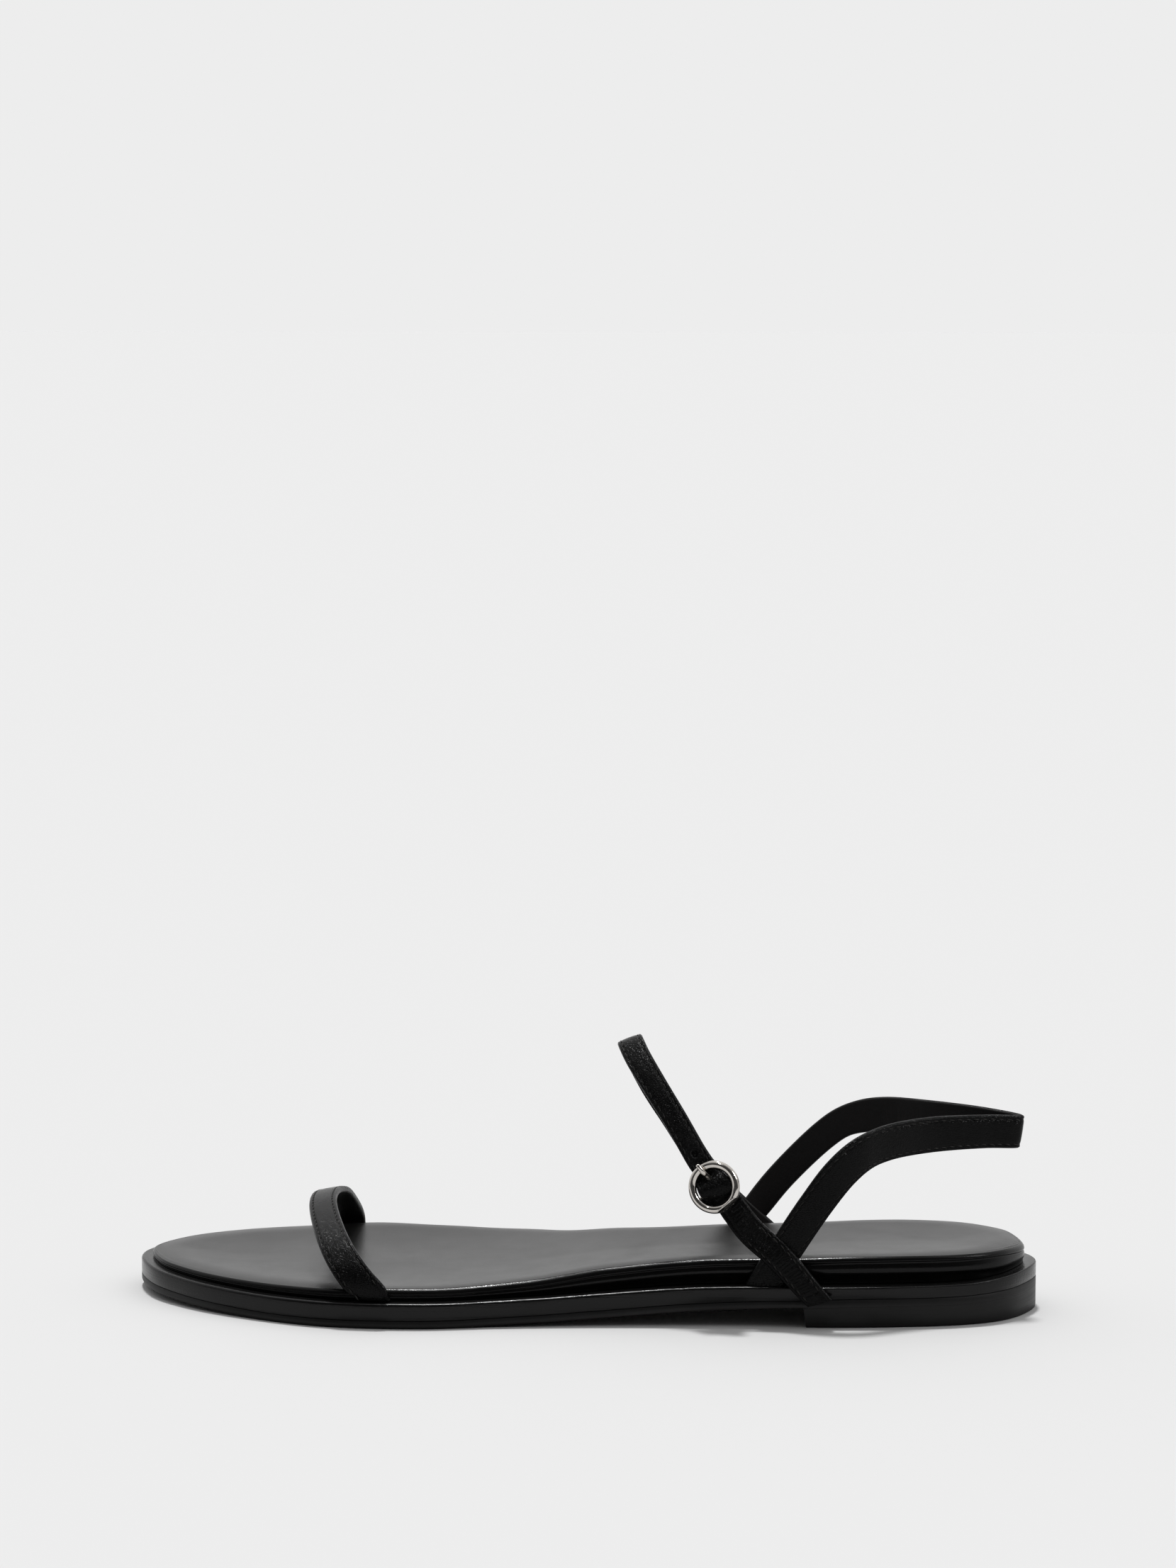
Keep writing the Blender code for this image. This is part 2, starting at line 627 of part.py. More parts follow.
def stand_on_floor(pieces: Sequence[bpy.types.Object]) -> None:
    """Parents all pieces to one empty that centres the sandal over the origin."""
    bpy.context.view_layer.update()
    corners = np.array([piece.matrix_world @ vertex.co for piece in pieces for vertex in piece.data.vertices])
    middle = 0.5 * (corners.min(axis=0) + corners.max(axis=0))
    root = bpy.data.objects.new("sandal", None)
    bpy.context.scene.collection.objects.link(root)
    for piece in pieces:
        piece.parent = root
    root.location = (-middle[0], -middle[1], -corners[:, 2].min())


def main() -> None:
    """Builds the whole sandal."""
    for leftover in list(bpy.data.objects):
        bpy.data.objects.remove(leftover)
    finished = (
        (build_outsole(), SOLE_SHEET),
        (build_heel(), HEEL_STACK),
        (build_midsole(), MIDSOLE_LEATHER),
        (build_insole(), FOOTBED_LEATHER),
        (build_toe_strap(), STRAP_LEATHER),
        (build_ankle_straps(), STRAP_LEATHER),
        (build_buckle_frame(), NICKEL),
        (build_buckle_prong(), NICKEL),
    )
    for piece, finish in finished:
        apply_finish(piece, finish)
    stand_on_floor([piece for piece, _ in finished])


main()
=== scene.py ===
"""Looks of a left flat sandal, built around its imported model.

The sole is a stack of lofted layers, the straps are folded leather swept along their routes with
thread in their stitch grooves, and the buckle is a polished ring with its prong.  Lengths are in
metres; the tables are in millimetres on the last, with the toe to -X and the outer side of the
foot to -Y.
"""
import logging
import math
import random
from dataclasses import dataclass, field
from enum import Enum
from typing import Callable, NamedTuple, Sequence

import bmesh
import bpy
import numpy as np
from mathutils import Matrix, Vector


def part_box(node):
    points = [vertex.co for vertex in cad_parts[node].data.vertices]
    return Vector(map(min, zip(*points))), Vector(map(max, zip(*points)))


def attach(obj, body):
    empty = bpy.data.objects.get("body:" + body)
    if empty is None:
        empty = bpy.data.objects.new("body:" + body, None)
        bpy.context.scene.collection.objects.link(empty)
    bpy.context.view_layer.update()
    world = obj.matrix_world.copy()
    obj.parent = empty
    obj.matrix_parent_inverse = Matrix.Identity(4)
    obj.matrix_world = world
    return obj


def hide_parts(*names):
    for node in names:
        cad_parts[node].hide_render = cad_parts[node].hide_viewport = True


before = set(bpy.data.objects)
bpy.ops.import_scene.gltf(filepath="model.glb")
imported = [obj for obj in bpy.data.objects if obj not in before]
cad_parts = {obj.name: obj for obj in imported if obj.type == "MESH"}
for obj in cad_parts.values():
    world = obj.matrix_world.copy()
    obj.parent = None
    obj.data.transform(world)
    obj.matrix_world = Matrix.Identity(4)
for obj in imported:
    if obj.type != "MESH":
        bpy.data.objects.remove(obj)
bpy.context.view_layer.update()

log = logging.getLogger("sandal")

MM = 0.001
WELD = 0.001 * MM
PARALLEL = 1e-6
QUARTER_TURN = 0.5 * math.pi
BODY = "root"
PHOTO_HEIGHT_PX = 2212

Range = tuple[float, float]
Triple = tuple[float, float, float]
Socket = bpy.types.NodeSocket
Mesh = bmesh.types.BMesh


# Tables and curves


class OutlineRow(NamedTuple):
    """One station of the sole's outline: half widths from the middle line."""

    along: float
    lateral: float
    medial: float


class HeightRow(NamedTuple):
    """Layer heights at one station of the sole."""

    along: float
    underside: float
    midsole: float
    insole: float
    undercut: float


class TopRow(NamedTuple):
    """Shape of the footbed's top at one station.

    It has the fall at the edge, the width of the fall, the dish, the shoulder's radius, the edge's
    drop below the last, and its rise on the arch's side.
    """

    along: float
    fall: float
    reach: float
    dish: float
    shoulder: float
    drop: float
    arch: float


class StrapRow(NamedTuple):
    """One point of a strap's middle surface and its width there."""

    along: float
    across: float
    up: float
    width: float


class PassRow(NamedTuple):
    """One point of a strap or wire at the buckle, in the buckle's own axes."""

    reach: float
    lift: float
    width: float = 0.0
    aside: float = 0.0


class EndCut(Enum):
    """How a strap's end is cut: square to the strip, or turned towards the level of the sole."""

    SQUARE = 0.0
    SKEWED = 0.5
    LEVEL = 1.0


class StrapSide(Enum):
    """Material slots of a strap."""

    LEATHER = 0
    LINING = 1


def column(table: Sequence[NamedTuple], name: str) -> np.ndarray:
    """One named column of a table, in metres."""
    return np.array([getattr(row, name) for row in table]) * MM


def smooth(table: Sequence[NamedTuple], name: str, along: np.ndarray) -> np.ndarray:
    """Reads a table column at any stations, by a cubic that never overshoots its rows.

    Args:
        table: rows with an "along" column that rises.
        name: the column to read.
        along: stations, in metres.

    Returns:
        The column's values at the stations, in metres.
    """
    x, y = column(table, "along"), column(table, name)
    step = np.diff(x)
    slope = np.diff(y) / step
    before, after = slope[:-1], slope[1:]
    rising = before * after > 0
    inner = np.where(rising, 2 * before * after / np.where(rising, before + after, 1.0), 0.0)
    tangent = np.concatenate([slope[:1], inner, slope[-1:]])
    at = np.clip(along, x[0], x[-1])
    i = np.clip(np.searchsorted(x, at, side="right") - 1, 0, len(step) - 1)
    t = (at - x[i]) / step[i]
    start = (1 + 2 * t) * (1 - t) ** 2 * y[i] + t * (1 - t) ** 2 * step[i] * tangent[i]
    end = t ** 2 * (3 - 2 * t) * y[i + 1] - t ** 2 * (1 - t) * step[i] * tangent[i + 1]
    return start + end


def dense_curve(points: np.ndarray, closed: bool = False, per_row: int = 40) -> np.ndarray:
    """A smooth curve through the given points, finely divided.

    Args:
        points: one row per point; columns past the third ride along.
        closed: whether the curve returns to its first point.
        per_row: divisions from each point to the next.

    Returns:
        The divided curve, ending on the last point, or on the first one if it is closed.
    """
    if closed:
        knots = np.vstack([points[-1], points, points[0], points[1]])
    else:
        knots = np.vstack([2 * points[0] - points[1], points, 2 * points[-1] - points[-2]])
    fine = []
    for a, b, c, d in zip(knots, knots[1:], knots[2:], knots[3:]):
        gaps = [np.linalg.norm(q[:3] - p[:3]) ** 0.5 for p, q in ((a, b), (b, c), (c, d))]
        t0, t1, t2, t3 = np.cumsum([0.0] + gaps)
        t = np.linspace(t1, t2, per_row, endpoint=False)[:, None]
        ab = (t1 - t) / (t1 - t0) * a + (t - t0) / (t1 - t0) * b
        bc = (t2 - t) / (t2 - t1) * b + (t - t1) / (t2 - t1) * c
        cd = (t3 - t) / (t3 - t2) * c + (t - t2) / (t3 - t2) * d
        abc = (t2 - t) / (t2 - t0) * ab + (t - t0) / (t2 - t0) * bc
        bcd = (t3 - t) / (t3 - t1) * bc + (t - t1) / (t3 - t1) * cd
        fine.append((t2 - t) / (t2 - t1) * abc + (t - t1) / (t2 - t1) * bcd)
    return np.vstack(fine + [knots[-2]])


def run_length(line: np.ndarray) -> np.ndarray:
    """Distance along a line at each of its points."""
    return np.concatenate([[0.0], np.cumsum(np.linalg.norm(np.diff(line[:, :3], axis=0), axis=1))])


def resample(line: np.ndarray, count: int) -> np.ndarray:
    """Divides a line evenly.

    Args:
        line: its points; columns past the third ride along.
        count: number of points to give.

    Returns:
        The line with evenly spaced points.
    """
    run = run_length(line)
    at = np.linspace(0.0, run[-1], count)
    return np.stack([np.interp(at, run, values) for values in line.T], axis=1)


def unit(rows: np.ndarray) -> np.ndarray:
    """Rows scaled to length one."""
    return rows / np.linalg.norm(rows, axis=-1, keepdims=True)


# Mesh making


def add_surface(bm: Mesh, points: np.ndarray, closed: bool = False,
                slots: Sequence[int] | None = None) -> None:
    """Lays a grid over rows of points.

    Args:
        bm: mesh that takes the grid.
        points: array of rows by columns by three.
        closed: whether the last column joins the first.
        slots: material slot of the faces past each column, where they differ.
    """
    rows, columns = points.shape[:2]
    across = columns if closed else columns - 1
    made = bmesh.ops.create_grid(bm, x_segments=rows - 1, y_segments=across, size=0.5)["verts"]
    if slots:
        for face in {face for vert in made for face in vert.link_faces}:
            face.material_index = slots[int((face.calc_center_median().y + 0.5) * across)]
    for vert in made:
        i = round((vert.co.x + 0.5) * (rows - 1))
        j = round((vert.co.y + 0.5) * across) % columns
        vert.co = points[i, j]


def close_up(bm: Mesh) -> None:
    """Welds the seams of a mesh, fills its open ends and turns its faces outwards.

    Args:
        bm: the mesh.
    """
    bmesh.ops.remove_doubles(bm, verts=bm.verts, dist=WELD)
    bmesh.ops.dissolve_degenerate(bm, edges=bm.edges, dist=0.5 * WELD)
    rim = [edge for edge in bm.edges if edge.is_boundary]
    if rim:
        bmesh.ops.holes_fill(bm, edges=rim, sides=0)
    bmesh.ops.recalc_face_normals(bm, faces=bm.faces)


def make_object(name: str, bm: Mesh, home: bpy.types.Collection) -> bpy.types.Object:
    """Turns a mesh into an object.

    Args:
        name: name of the object and of its mesh.
        bm: its mesh, which is used up.
        home: collection that takes the object.

    Returns:
        The new object.
    """
    mesh = bpy.data.meshes.new(name)
    bm.to_mesh(mesh)
    bm.free()
    made = bpy.data.objects.new(name, mesh)
    home.objects.link(made)
    return made


class PieceGroup(Enum):
    """Pieces that a lamp can light on their own."""

    SOLE = "sole_pieces"
    UPPER = "upper_pieces"

    def collection(self) -> bpy.types.Collection:
        """Finds the collection of this group, or makes it the first time.

        Returns:
            The collection.
        """
        found = bpy.data.collections.get(self.value)
        if not found:
            found = bpy.data.collections.new(self.value)
            bpy.context.scene.collection.children.link(found)
        return found


def finish_piece(name: str, bm: Mesh, finishes: Sequence["Finish"],
                 replaces: Sequence[str] = (),
                 group: PieceGroup = PieceGroup.UPPER) -> bpy.types.Object:
    """Turns a mesh into a dressed piece that rides on the sandal.

    Args:
        name: name of the piece.
        bm: its mesh, which is used up.
        finishes: one finish for each material slot.
        replaces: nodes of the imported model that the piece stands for.
        group: pieces that it is lit with.

    Returns:
        The finished object.
    """
    for face in bm.faces:
        face.smooth = True
    piece = make_object(name, bm, group.collection())
    for finish in finishes:
        piece.data.materials.append(finish.material())
    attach(piece, BODY)
    if replaces:
        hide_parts(*replaces)
    log.info("%s: %d faces", name, len(piece.data.polygons))
    return piece


# Finishes


class Blend(Enum):
    """How a value goes from one end of a range to the other."""

    STRAIGHT = "LINEAR"
    EASED = "SMOOTHSTEP"


def grey(level: float) -> Triple:
    """A colour without a hue."""
    return (level, level, level)


class NodeSheet:
    """Adds and joins the nodes of one material."""

    # A mix node's colour sockets share their names with its number sockets, so they go by number.
    MIX_AMOUNT, MIX_DARK, MIX_LIGHT, MIX_RESULT = 0, 6, 7, 2

    def __init__(self, name: str) -> None:
        """Starts a material with a plain principled shader.

        Args:
            name: name of the material.
        """
        self.material = bpy.data.materials.new(name)
        self.material.use_nodes = True
        self.tree = self.material.node_tree
        self.shader = self.tree.nodes["Principled BSDF"]
        self.place = self.add("ShaderNodeTexCoord").outputs["Object"]

    def fill(self, node: bpy.types.Node, sockets: dict[str | int, object]) -> None:
        """Sets or links inputs of a node.

        Args:
            node: the node.
            sockets: values or links by input; an underscore in a name stands for a space.
        """
        for key, value in sockets.items():
            socket = node.inputs[key.replace("_", " ") if isinstance(key, str) else key]
            if isinstance(value, Socket):
                self.tree.links.new(value, socket)
            else:
                socket.default_value = value

    def add(self, kind: str, settings: dict[str, object] | None = None,
            **sockets: object) -> bpy.types.Node:
        """Adds a node.

        Args:
            kind: type of the node.
            settings: its own properties.
            sockets: values or links of its inputs, as fill takes them.

        Returns:
            The new node.
        """
        node = self.tree.nodes.new(kind)
        for key, value in (settings or {}).items():
            setattr(node, key, value)
        self.fill(node, sockets)
        return node

    def put(self, **sockets: object) -> None:
        """Sets or links inputs of the principled shader, as fill takes them."""
        self.fill(self.shader, sockets)

    def stretched(self, scale: Triple) -> Socket:
        """Object coordinates scaled by axis."""
        return self.add("ShaderNodeMapping", Vector=self.place, Scale=scale).outputs["Vector"]

    def noise(self, size: float, detail: float = 3.0, place: Socket | None = None) -> Socket:
        """Soft noise with features of about the given size."""
        where = place or self.place
        return self.add("ShaderNodeTexNoise", Vector=where, Scale=1.0 / size,
                        Detail=detail).outputs["Fac"]

    def cells(self, size: float, place: Socket) -> Socket:
        """Distance from the borders of cells of about the given size."""
        return self.add("ShaderNodeTexVoronoi", {"feature": "DISTANCE_TO_EDGE"}, Vector=place,
                        Scale=1.0 / size).outputs["Distance"]

    def spread(self, value: Socket, low: float, high: float, start: float = 0.3, stop: float = 0.7,
               blend: Blend = Blend.STRAIGHT) -> Socket:
        """Maps a value from one range to another.

        Args:
            value: the value.
            low: what the start becomes.
            high: what the stop becomes.
            start: lower end of the value's range.
            stop: upper end of the value's range.
            blend: how it goes from one end to the other.

        Returns:
            The mapped value.
        """
        node = self.add("ShaderNodeMapRange", {"interpolation_type": blend.value}, Value=value,
                        From_Min=start, From_Max=stop, To_Min=low, To_Max=high)
        return node.outputs["Result"]

    def bump(self, height: Socket, depth: float, strength: float,
             over: Socket | None = None) -> Socket:
        """Raises the surface.

        Args:
            height: how high it is, from 0 to 1.
            depth: the full height.
            strength: how much of it shows.
            over: another bump that this one lies on.

        Returns:
            The bent normal.
        """
        node = self.add("ShaderNodeBump", Height=height, Distance=depth, Strength=strength)
        if over:
            self.fill(node, {"Normal": over})
        return node.outputs["Normal"]

    def tint(self, amount: Socket, dark: Triple, light: Triple) -> Socket:
        """Mixes two colours.

        Args:
            amount: share of the light colour.
            dark: colour at 0.
            light: colour at 1.

        Returns:
            The mixed colour.
        """
        node = self.add("ShaderNodeMix", {"data_type": "RGBA"})
        self.fill(node, {self.MIX_AMOUNT: amount, self.MIX_DARK: (*dark, 1.0),
                         self.MIX_LIGHT: (*light, 1.0)})
        return node.outputs[self.MIX_RESULT]


@dataclass(frozen=True)
class Finish:
    """A surface: its colours and its gloss."""

    name: str
    dark: Triple
    light: Triple
    roughness: float
    roughness_spread: float = 0.06

    def material(self) -> bpy.types.Material:
        """Finds the material of this finish, or makes it the first time.

        Returns:
            The material.
        """
        found = bpy.data.materials.get(self.name)
        if found:
            return found
        sheet = NodeSheet(self.name)
        self.dress(sheet)
        return sheet.material

    def dress(self, sheet: NodeSheet) -> None:
        """Adds the nodes of this finish to a new material."""
        raise NotImplementedError

    def cover(self, sheet: NodeSheet, mottle: Socket, gloss: Socket, relief: Socket,
              **sockets: object) -> None:
        """Sets the colour, gloss and relief that every finish has.

        Args:
            sheet: nodes of the material.
            mottle: mixes the two colours.
            gloss: spreads the roughness.
            relief: normal of the surface.
            sockets: more inputs of the shader.
        """
        low = self.roughness - self.roughness_spread
        high = self.roughness + self.roughness_spread
        sheet.put(Base_Color=sheet.tint(mottle, self.dark, self.light),
                  Roughness=sheet.spread(gloss, low, high), Normal=relief, **sockets)


@dataclass(frozen=True)
class GrainedLeather(Finish):
    """Leather with a fine pebbled grain.

    Its sway, swirl, groove and pores are shares of a grain.
    """

    grain: float = 0.5 * MM
    grain_depth: float = 0.05 * MM
    grain_strength: float = 0.5
    sway: float = 0.5
    swirl: float = 0.7
    groove: float = 0.38
    pore: float = 0.3
    pore_strength: float = 0.2
    cloud: float = 9.0 * MM
    specular: float = 0.5

    def pebbles(self, sheet: NodeSheet) -> Socket:
        """Adds rounded pebbles of uneven shape.

        Args:
            sheet: nodes of the material.

        Returns:
            Their height.
        """
        swirl = sheet.add("ShaderNodeTexNoise", Vector=sheet.place, Scale=self.swirl / self.grain,
                          Detail=2.0)
        sway = sheet.add("ShaderNodeVectorMath", {"operation": "SCALE"},
                         Scale=self.sway * self.grain)
        sheet.fill(sway, {0: swirl.outputs["Color"]})
        bent = sheet.add("ShaderNodeVectorMath", {"operation": "ADD"})
        sheet.fill(bent, {0: sheet.place, 1: sway.outputs["Vector"]})
        borders = sheet.cells(self.grain, bent.outputs["Vector"])
        return sheet.spread(borders, 0.0, 1.0, 0.0, self.groove, Blend.EASED)

    def dress(self, sheet: NodeSheet) -> None:
        """Adds pebbles, pores and slow changes of colour and gloss.

        Args:
            sheet: nodes of the material.
        """
        clouds = sheet.noise(self.cloud)
        pores = sheet.noise(self.pore * self.grain, detail=2.0)
        relief = sheet.bump(self.pebbles(sheet), self.grain_depth, self.grain_strength)
        relief = sheet.bump(pores, self.pore * self.grain_depth, self.pore_strength, relief)
        self.cover(sheet, clouds, clouds, relief, Specular_IOR_Level=self.specular)


@dataclass(frozen=True)
class InkedEdge(Finish):
    """Cut and inked edge of a sole layer, with faint lines along it."""

    line: float = 0.35 * MM
    line_length: float = 30.0 * MM
    depth: float = 0.03 * MM
    strength: float = 0.35
    grain: float = 0.6 * MM
    grain_strength: float = 0.15
    mottle: float = 5.0 * MM
    specular: float = 0.4

    def dress(self, sheet: NodeSheet) -> None:
        """Adds brushed lines along the edge, a fine grain and a little mottle.

        Args:
            sheet: nodes of the material.
        """
        along = 1.0 / self.line_length
        lines = sheet.noise(1.0, place=sheet.stretched((along, along, 1.0 / self.line)))
        relief = sheet.bump(lines, self.depth, self.strength)
        relief = sheet.bump(sheet.noise(self.grain), self.depth, self.grain_strength, relief)
        mottle = sheet.noise(self.mottle, detail=4.0)
        self.cover(sheet, mottle, lines, relief, Specular_IOR_Level=self.specular)


@dataclass(frozen=True)
class PolishedMetal(Finish):
    """Plated metal with hairline polishing marks."""

    hairs_per_metre: Triple = (1500.0, 1500.0, 9000.0)
    hair_depth: float = 0.004 * MM
    hair_strength: float = 0.1
    mottle: float = 2.0 * MM

    def dress(self, sheet: NodeSheet) -> None:
        """Adds faint hairlines and a little mottle.

        Args:
            sheet: nodes of the material.
        """
        hairs = sheet.noise(1.0, detail=2.0, place=sheet.stretched(self.hairs_per_metre))
        relief = sheet.bump(hairs, self.hair_depth, self.hair_strength)
        mottle = sheet.noise(self.mottle)
        self.cover(sheet, mottle, mottle, relief, Metallic=1.0)


@dataclass(frozen=True)
class WaxedThread(Finish):
    """Thin waxed thread."""

    strand: float = 0.18 * MM
    strand_depth: float = 0.05 * MM
    strand_strength: float = 0.6
    specular: float = 0.1

    def dress(self, sheet: NodeSheet) -> None:
        """Adds twisted strands.

        Args:
            sheet: nodes of the material.
        """
        strands = sheet.noise(self.strand, detail=2.0)
        relief = sheet.bump(strands, self.strand_depth, self.strand_strength)
        self.cover(sheet, strands, strands, relief, Specular_IOR_Level=self.specular)


STRAP_LEATHER = GrainedLeather("black_strap_leather", grey(0.001), grey(0.003), 0.24,
                               grain_depth=0.075 * MM, grain_strength=0.75, pore_strength=0.3,
                               specular=0.085)
STRAP_LINING = GrainedLeather("black_strap_lining", grey(0.003), (0.006, 0.005, 0.005), 0.5,
                              specular=0.15)
FOOTBED_LEATHER = GrainedLeather("black_footbed_leather", grey(0.008), (0.011, 0.0108, 0.0105),
                                 0.3, 0.02, grain_depth=0.04 * MM, grain_strength=0.4,
                                 pore_strength=0.4, specular=0.36)
FOOTBED_EDGE = GrainedLeather("black_footbed_edge", grey(0.002), grey(0.004), 0.2, 0.03,
                              grain_depth=0.03 * MM, grain_strength=0.35, specular=0.16)
MIDSOLE_EDGE = InkedEdge("black_midsole_edge", grey(0.002), grey(0.005), 0.2, depth=0.09 * MM,
                         strength=0.7, grain_strength=0.6, specular=0.22)
SOLE_EDGE = InkedEdge("black_sole_edge", grey(0.004), grey(0.008), 0.44, strength=0.25,
                      specular=0.23)
NICKEL = PolishedMetal("polished_nickel", (0.5, 0.47, 0.44), (0.64, 0.61, 0.57), 0.09, 0.03)
THREAD = WaxedThread("black_thread", grey(0.005), (0.015, 0.014, 0.013), 0.32)


# Last and sole


class Levels(NamedTuple):
    """Heights of the sole's layers along a row of stations."""

    underside: np.ndarray
    outsole_top: np.ndarray
    midsole_top: np.ndarray
    insole: np.ndarray
    bead: np.ndarray
    top: np.ndarray


HeightRule = Callable[[Levels], np.ndarray]


@dataclass
class Last:
    """The shape that all layers of the sole share."""

    half_points: int = 150
    row_divisions: int = 40
    toe_tip: Range = (-128.8, 3.0)
    heel_tip: Range = (128.5, 2.0)
    outsole_thickness: float = 2.2 * MM
    seat_gap: float = 0.3 * MM
    #          along  lateral  medial
    outline: tuple[OutlineRow, ...] = (
        OutlineRow(-123.0, 14.2, 18.0),
        OutlineRow(-112.0, 25.8, 29.4),
        OutlineRow(-95.0, 36.5, 38.0),
        OutlineRow(-68.0, 46.3, 42.6),
        OutlineRow(-42.0, 46.6, 41.6),
        OutlineRow(-20.0, 41.8, 35.0),
        OutlineRow(2.0, 37.8, 23.4),
        OutlineRow(24.0, 34.9, 17.9),
        OutlineRow(48.0, 33.0, 21.2),
        OutlineRow(72.0, 31.9, 25.0),
        OutlineRow(92.0, 28.8, 28.0),
        OutlineRow(108.0, 24.6, 26.4),
        OutlineRow(118.0, 19.2, 20.6),
        OutlineRow(124.0, 12.2, 14.6),
    )
    #          along  underside  midsole  insole  undercut
    heights: tuple[HeightRow, ...] = (
        HeightRow(-128.0, 2.00, 4.6, 2.4, 0.3),
        HeightRow(-104.0, 0.70, 4.8, 2.9, 0.3),
        HeightRow(-80.0, 0.00, 4.9, 3.4, 0.3),
        HeightRow(-35.0, 0.00, 4.9, 3.7, 0.4),
        HeightRow(-12.0, 0.75, 4.8, 4.6, 0.8),
        HeightRow(11.0, 2.25, 4.8, 6.6, 1.6),
        HeightRow(35.0, 4.10, 4.6, 7.2, 2.2),
        HeightRow(60.0, 5.20, 3.9, 7.5, 2.4),
        HeightRow(80.0, 5.80, 3.4, 8.0, 2.4),
        HeightRow(108.0, 5.90, 3.5, 7.7, 2.1),
        HeightRow(119.0, 6.30, 3.8, 6.9, 1.3),
        HeightRow(128.0, 6.80, 4.1, 4.2, 0.6),
    )

    def table_ring(self) -> np.ndarray:
        """Draws the outline in the tables' own place.

        Returns:
            Points from the toe along the outer side to the heel, and back along the inner side.
        """
        along = column(self.outline, "along")
        lateral = np.stack([along, -column(self.outline, "lateral")], axis=1)
        medial = np.stack([along, column(self.outline, "medial")], axis=1)
        toe, heel = np.array([self.toe_tip]) * MM, np.array([self.heel_tip]) * MM
        line = dense_curve(np.vstack([toe, lateral, heel, medial[::-1]]), closed=True,
                           per_row=self.row_divisions)
        turn = (len(along) + 1) * self.row_divisions
        outer = resample(line[:turn + 1], self.half_points + 1)
        inner = resample(line[turn:], self.half_points + 1)
        return np.vstack([outer[:-1], inner[:-1]])

    def origin(self) -> np.ndarray:
        """Finds the tables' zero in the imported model, from the box of its midsole.

        Returns:
            Its place.
        """
        low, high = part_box("midsole")
        ring = self.table_ring()
        middle = 0.5 * (ring.min(axis=0) + ring.max(axis=0))
        centre = 0.5 * (low + high)
        return np.array([centre.x - middle[0], centre.y - middle[1], 0.0])

    def levels(self, along: np.ndarray) -> Levels:
        """Stacks the layers.

        Args:
            along: stations in the tables' own place.

        Returns:
            Heights of all layers there.
        """
        underside = smooth(self.heights, "underside", along)
        outsole_top = underside + self.outsole_thickness
        midsole_top = outsole_top + smooth(self.heights, "midsole", along)
        insole = midsole_top + self.seat_gap
        bead = insole + smooth(self.heights, "undercut", along)
        top = insole + smooth(self.heights, "insole", along)
        return Levels(underside, outsole_top, midsole_top, insole, bead, top)

    def ring(self, inset: float | np.ndarray, height: HeightRule) -> np.ndarray:
        """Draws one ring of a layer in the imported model.

        Args:
            inset: distance that the outline is moved in, for all points or for each.
            height: takes the layers' levels and gives the ring's heights.

        Returns:
            The ring's points, outer side first.
        """
        flat = self.table_ring()
        run = unit(np.roll(flat, -1, axis=0) - np.roll(flat, 1, axis=0))
        inward = np.stack([-run[:, 1], run[:, 0]], axis=1)
        moved = flat + inward * np.reshape(inset, (-1, 1))
        return np.column_stack([moved, height(self.levels(moved[:, 0]))]) + self.origin()


def ring_halves(ring: np.ndarray) -> tuple[np.ndarray, np.ndarray]:
    """The outer and the inner half of a ring, both from toe to heel."""
    half = len(ring) // 2
    return ring[:half + 1], np.vstack([ring[:1], ring[half:][::-1]])


def cap_rows(ring: np.ndarray, cuts: int) -> np.ndarray:
    """Divides the area inside a ring from side to side, more finely near its edge.

    Args:
        ring: its edge.
        cuts: points between the two sides.

    Returns:
        Rows of points from the outer side to the inner side.
    """
    share = 0.5 - 0.5 * np.cos(np.linspace(0.0, math.pi, cuts + 2))
    outer, inner = ring_halves(ring)
    return outer[:, None] + (inner - outer)[:, None] * share[None, :, None]


def loft(rings: Sequence[np.ndarray], cuts: int,
         crown: Callable[[np.ndarray], np.ndarray] | None = None) -> Mesh:
    """Closes a layer over rings, bottom first.

    Args:
        rings: rings with the same number of points.
        cuts: points of the top cap between its two sides.
        crown: takes the points of the top cap and gives how far each one rises.

    Returns:
        The closed mesh.
    """
    bm = bmesh.new()
    add_surface(bm, np.stack(rings), closed=True)
    add_surface(bm, cap_rows(rings[0], cuts=1))
    top = cap_rows(rings[-1], cuts)
    if crown:
        top[:, :, 2] += crown(top)
    add_surface(bm, top)
    close_up(bm)
    return bm


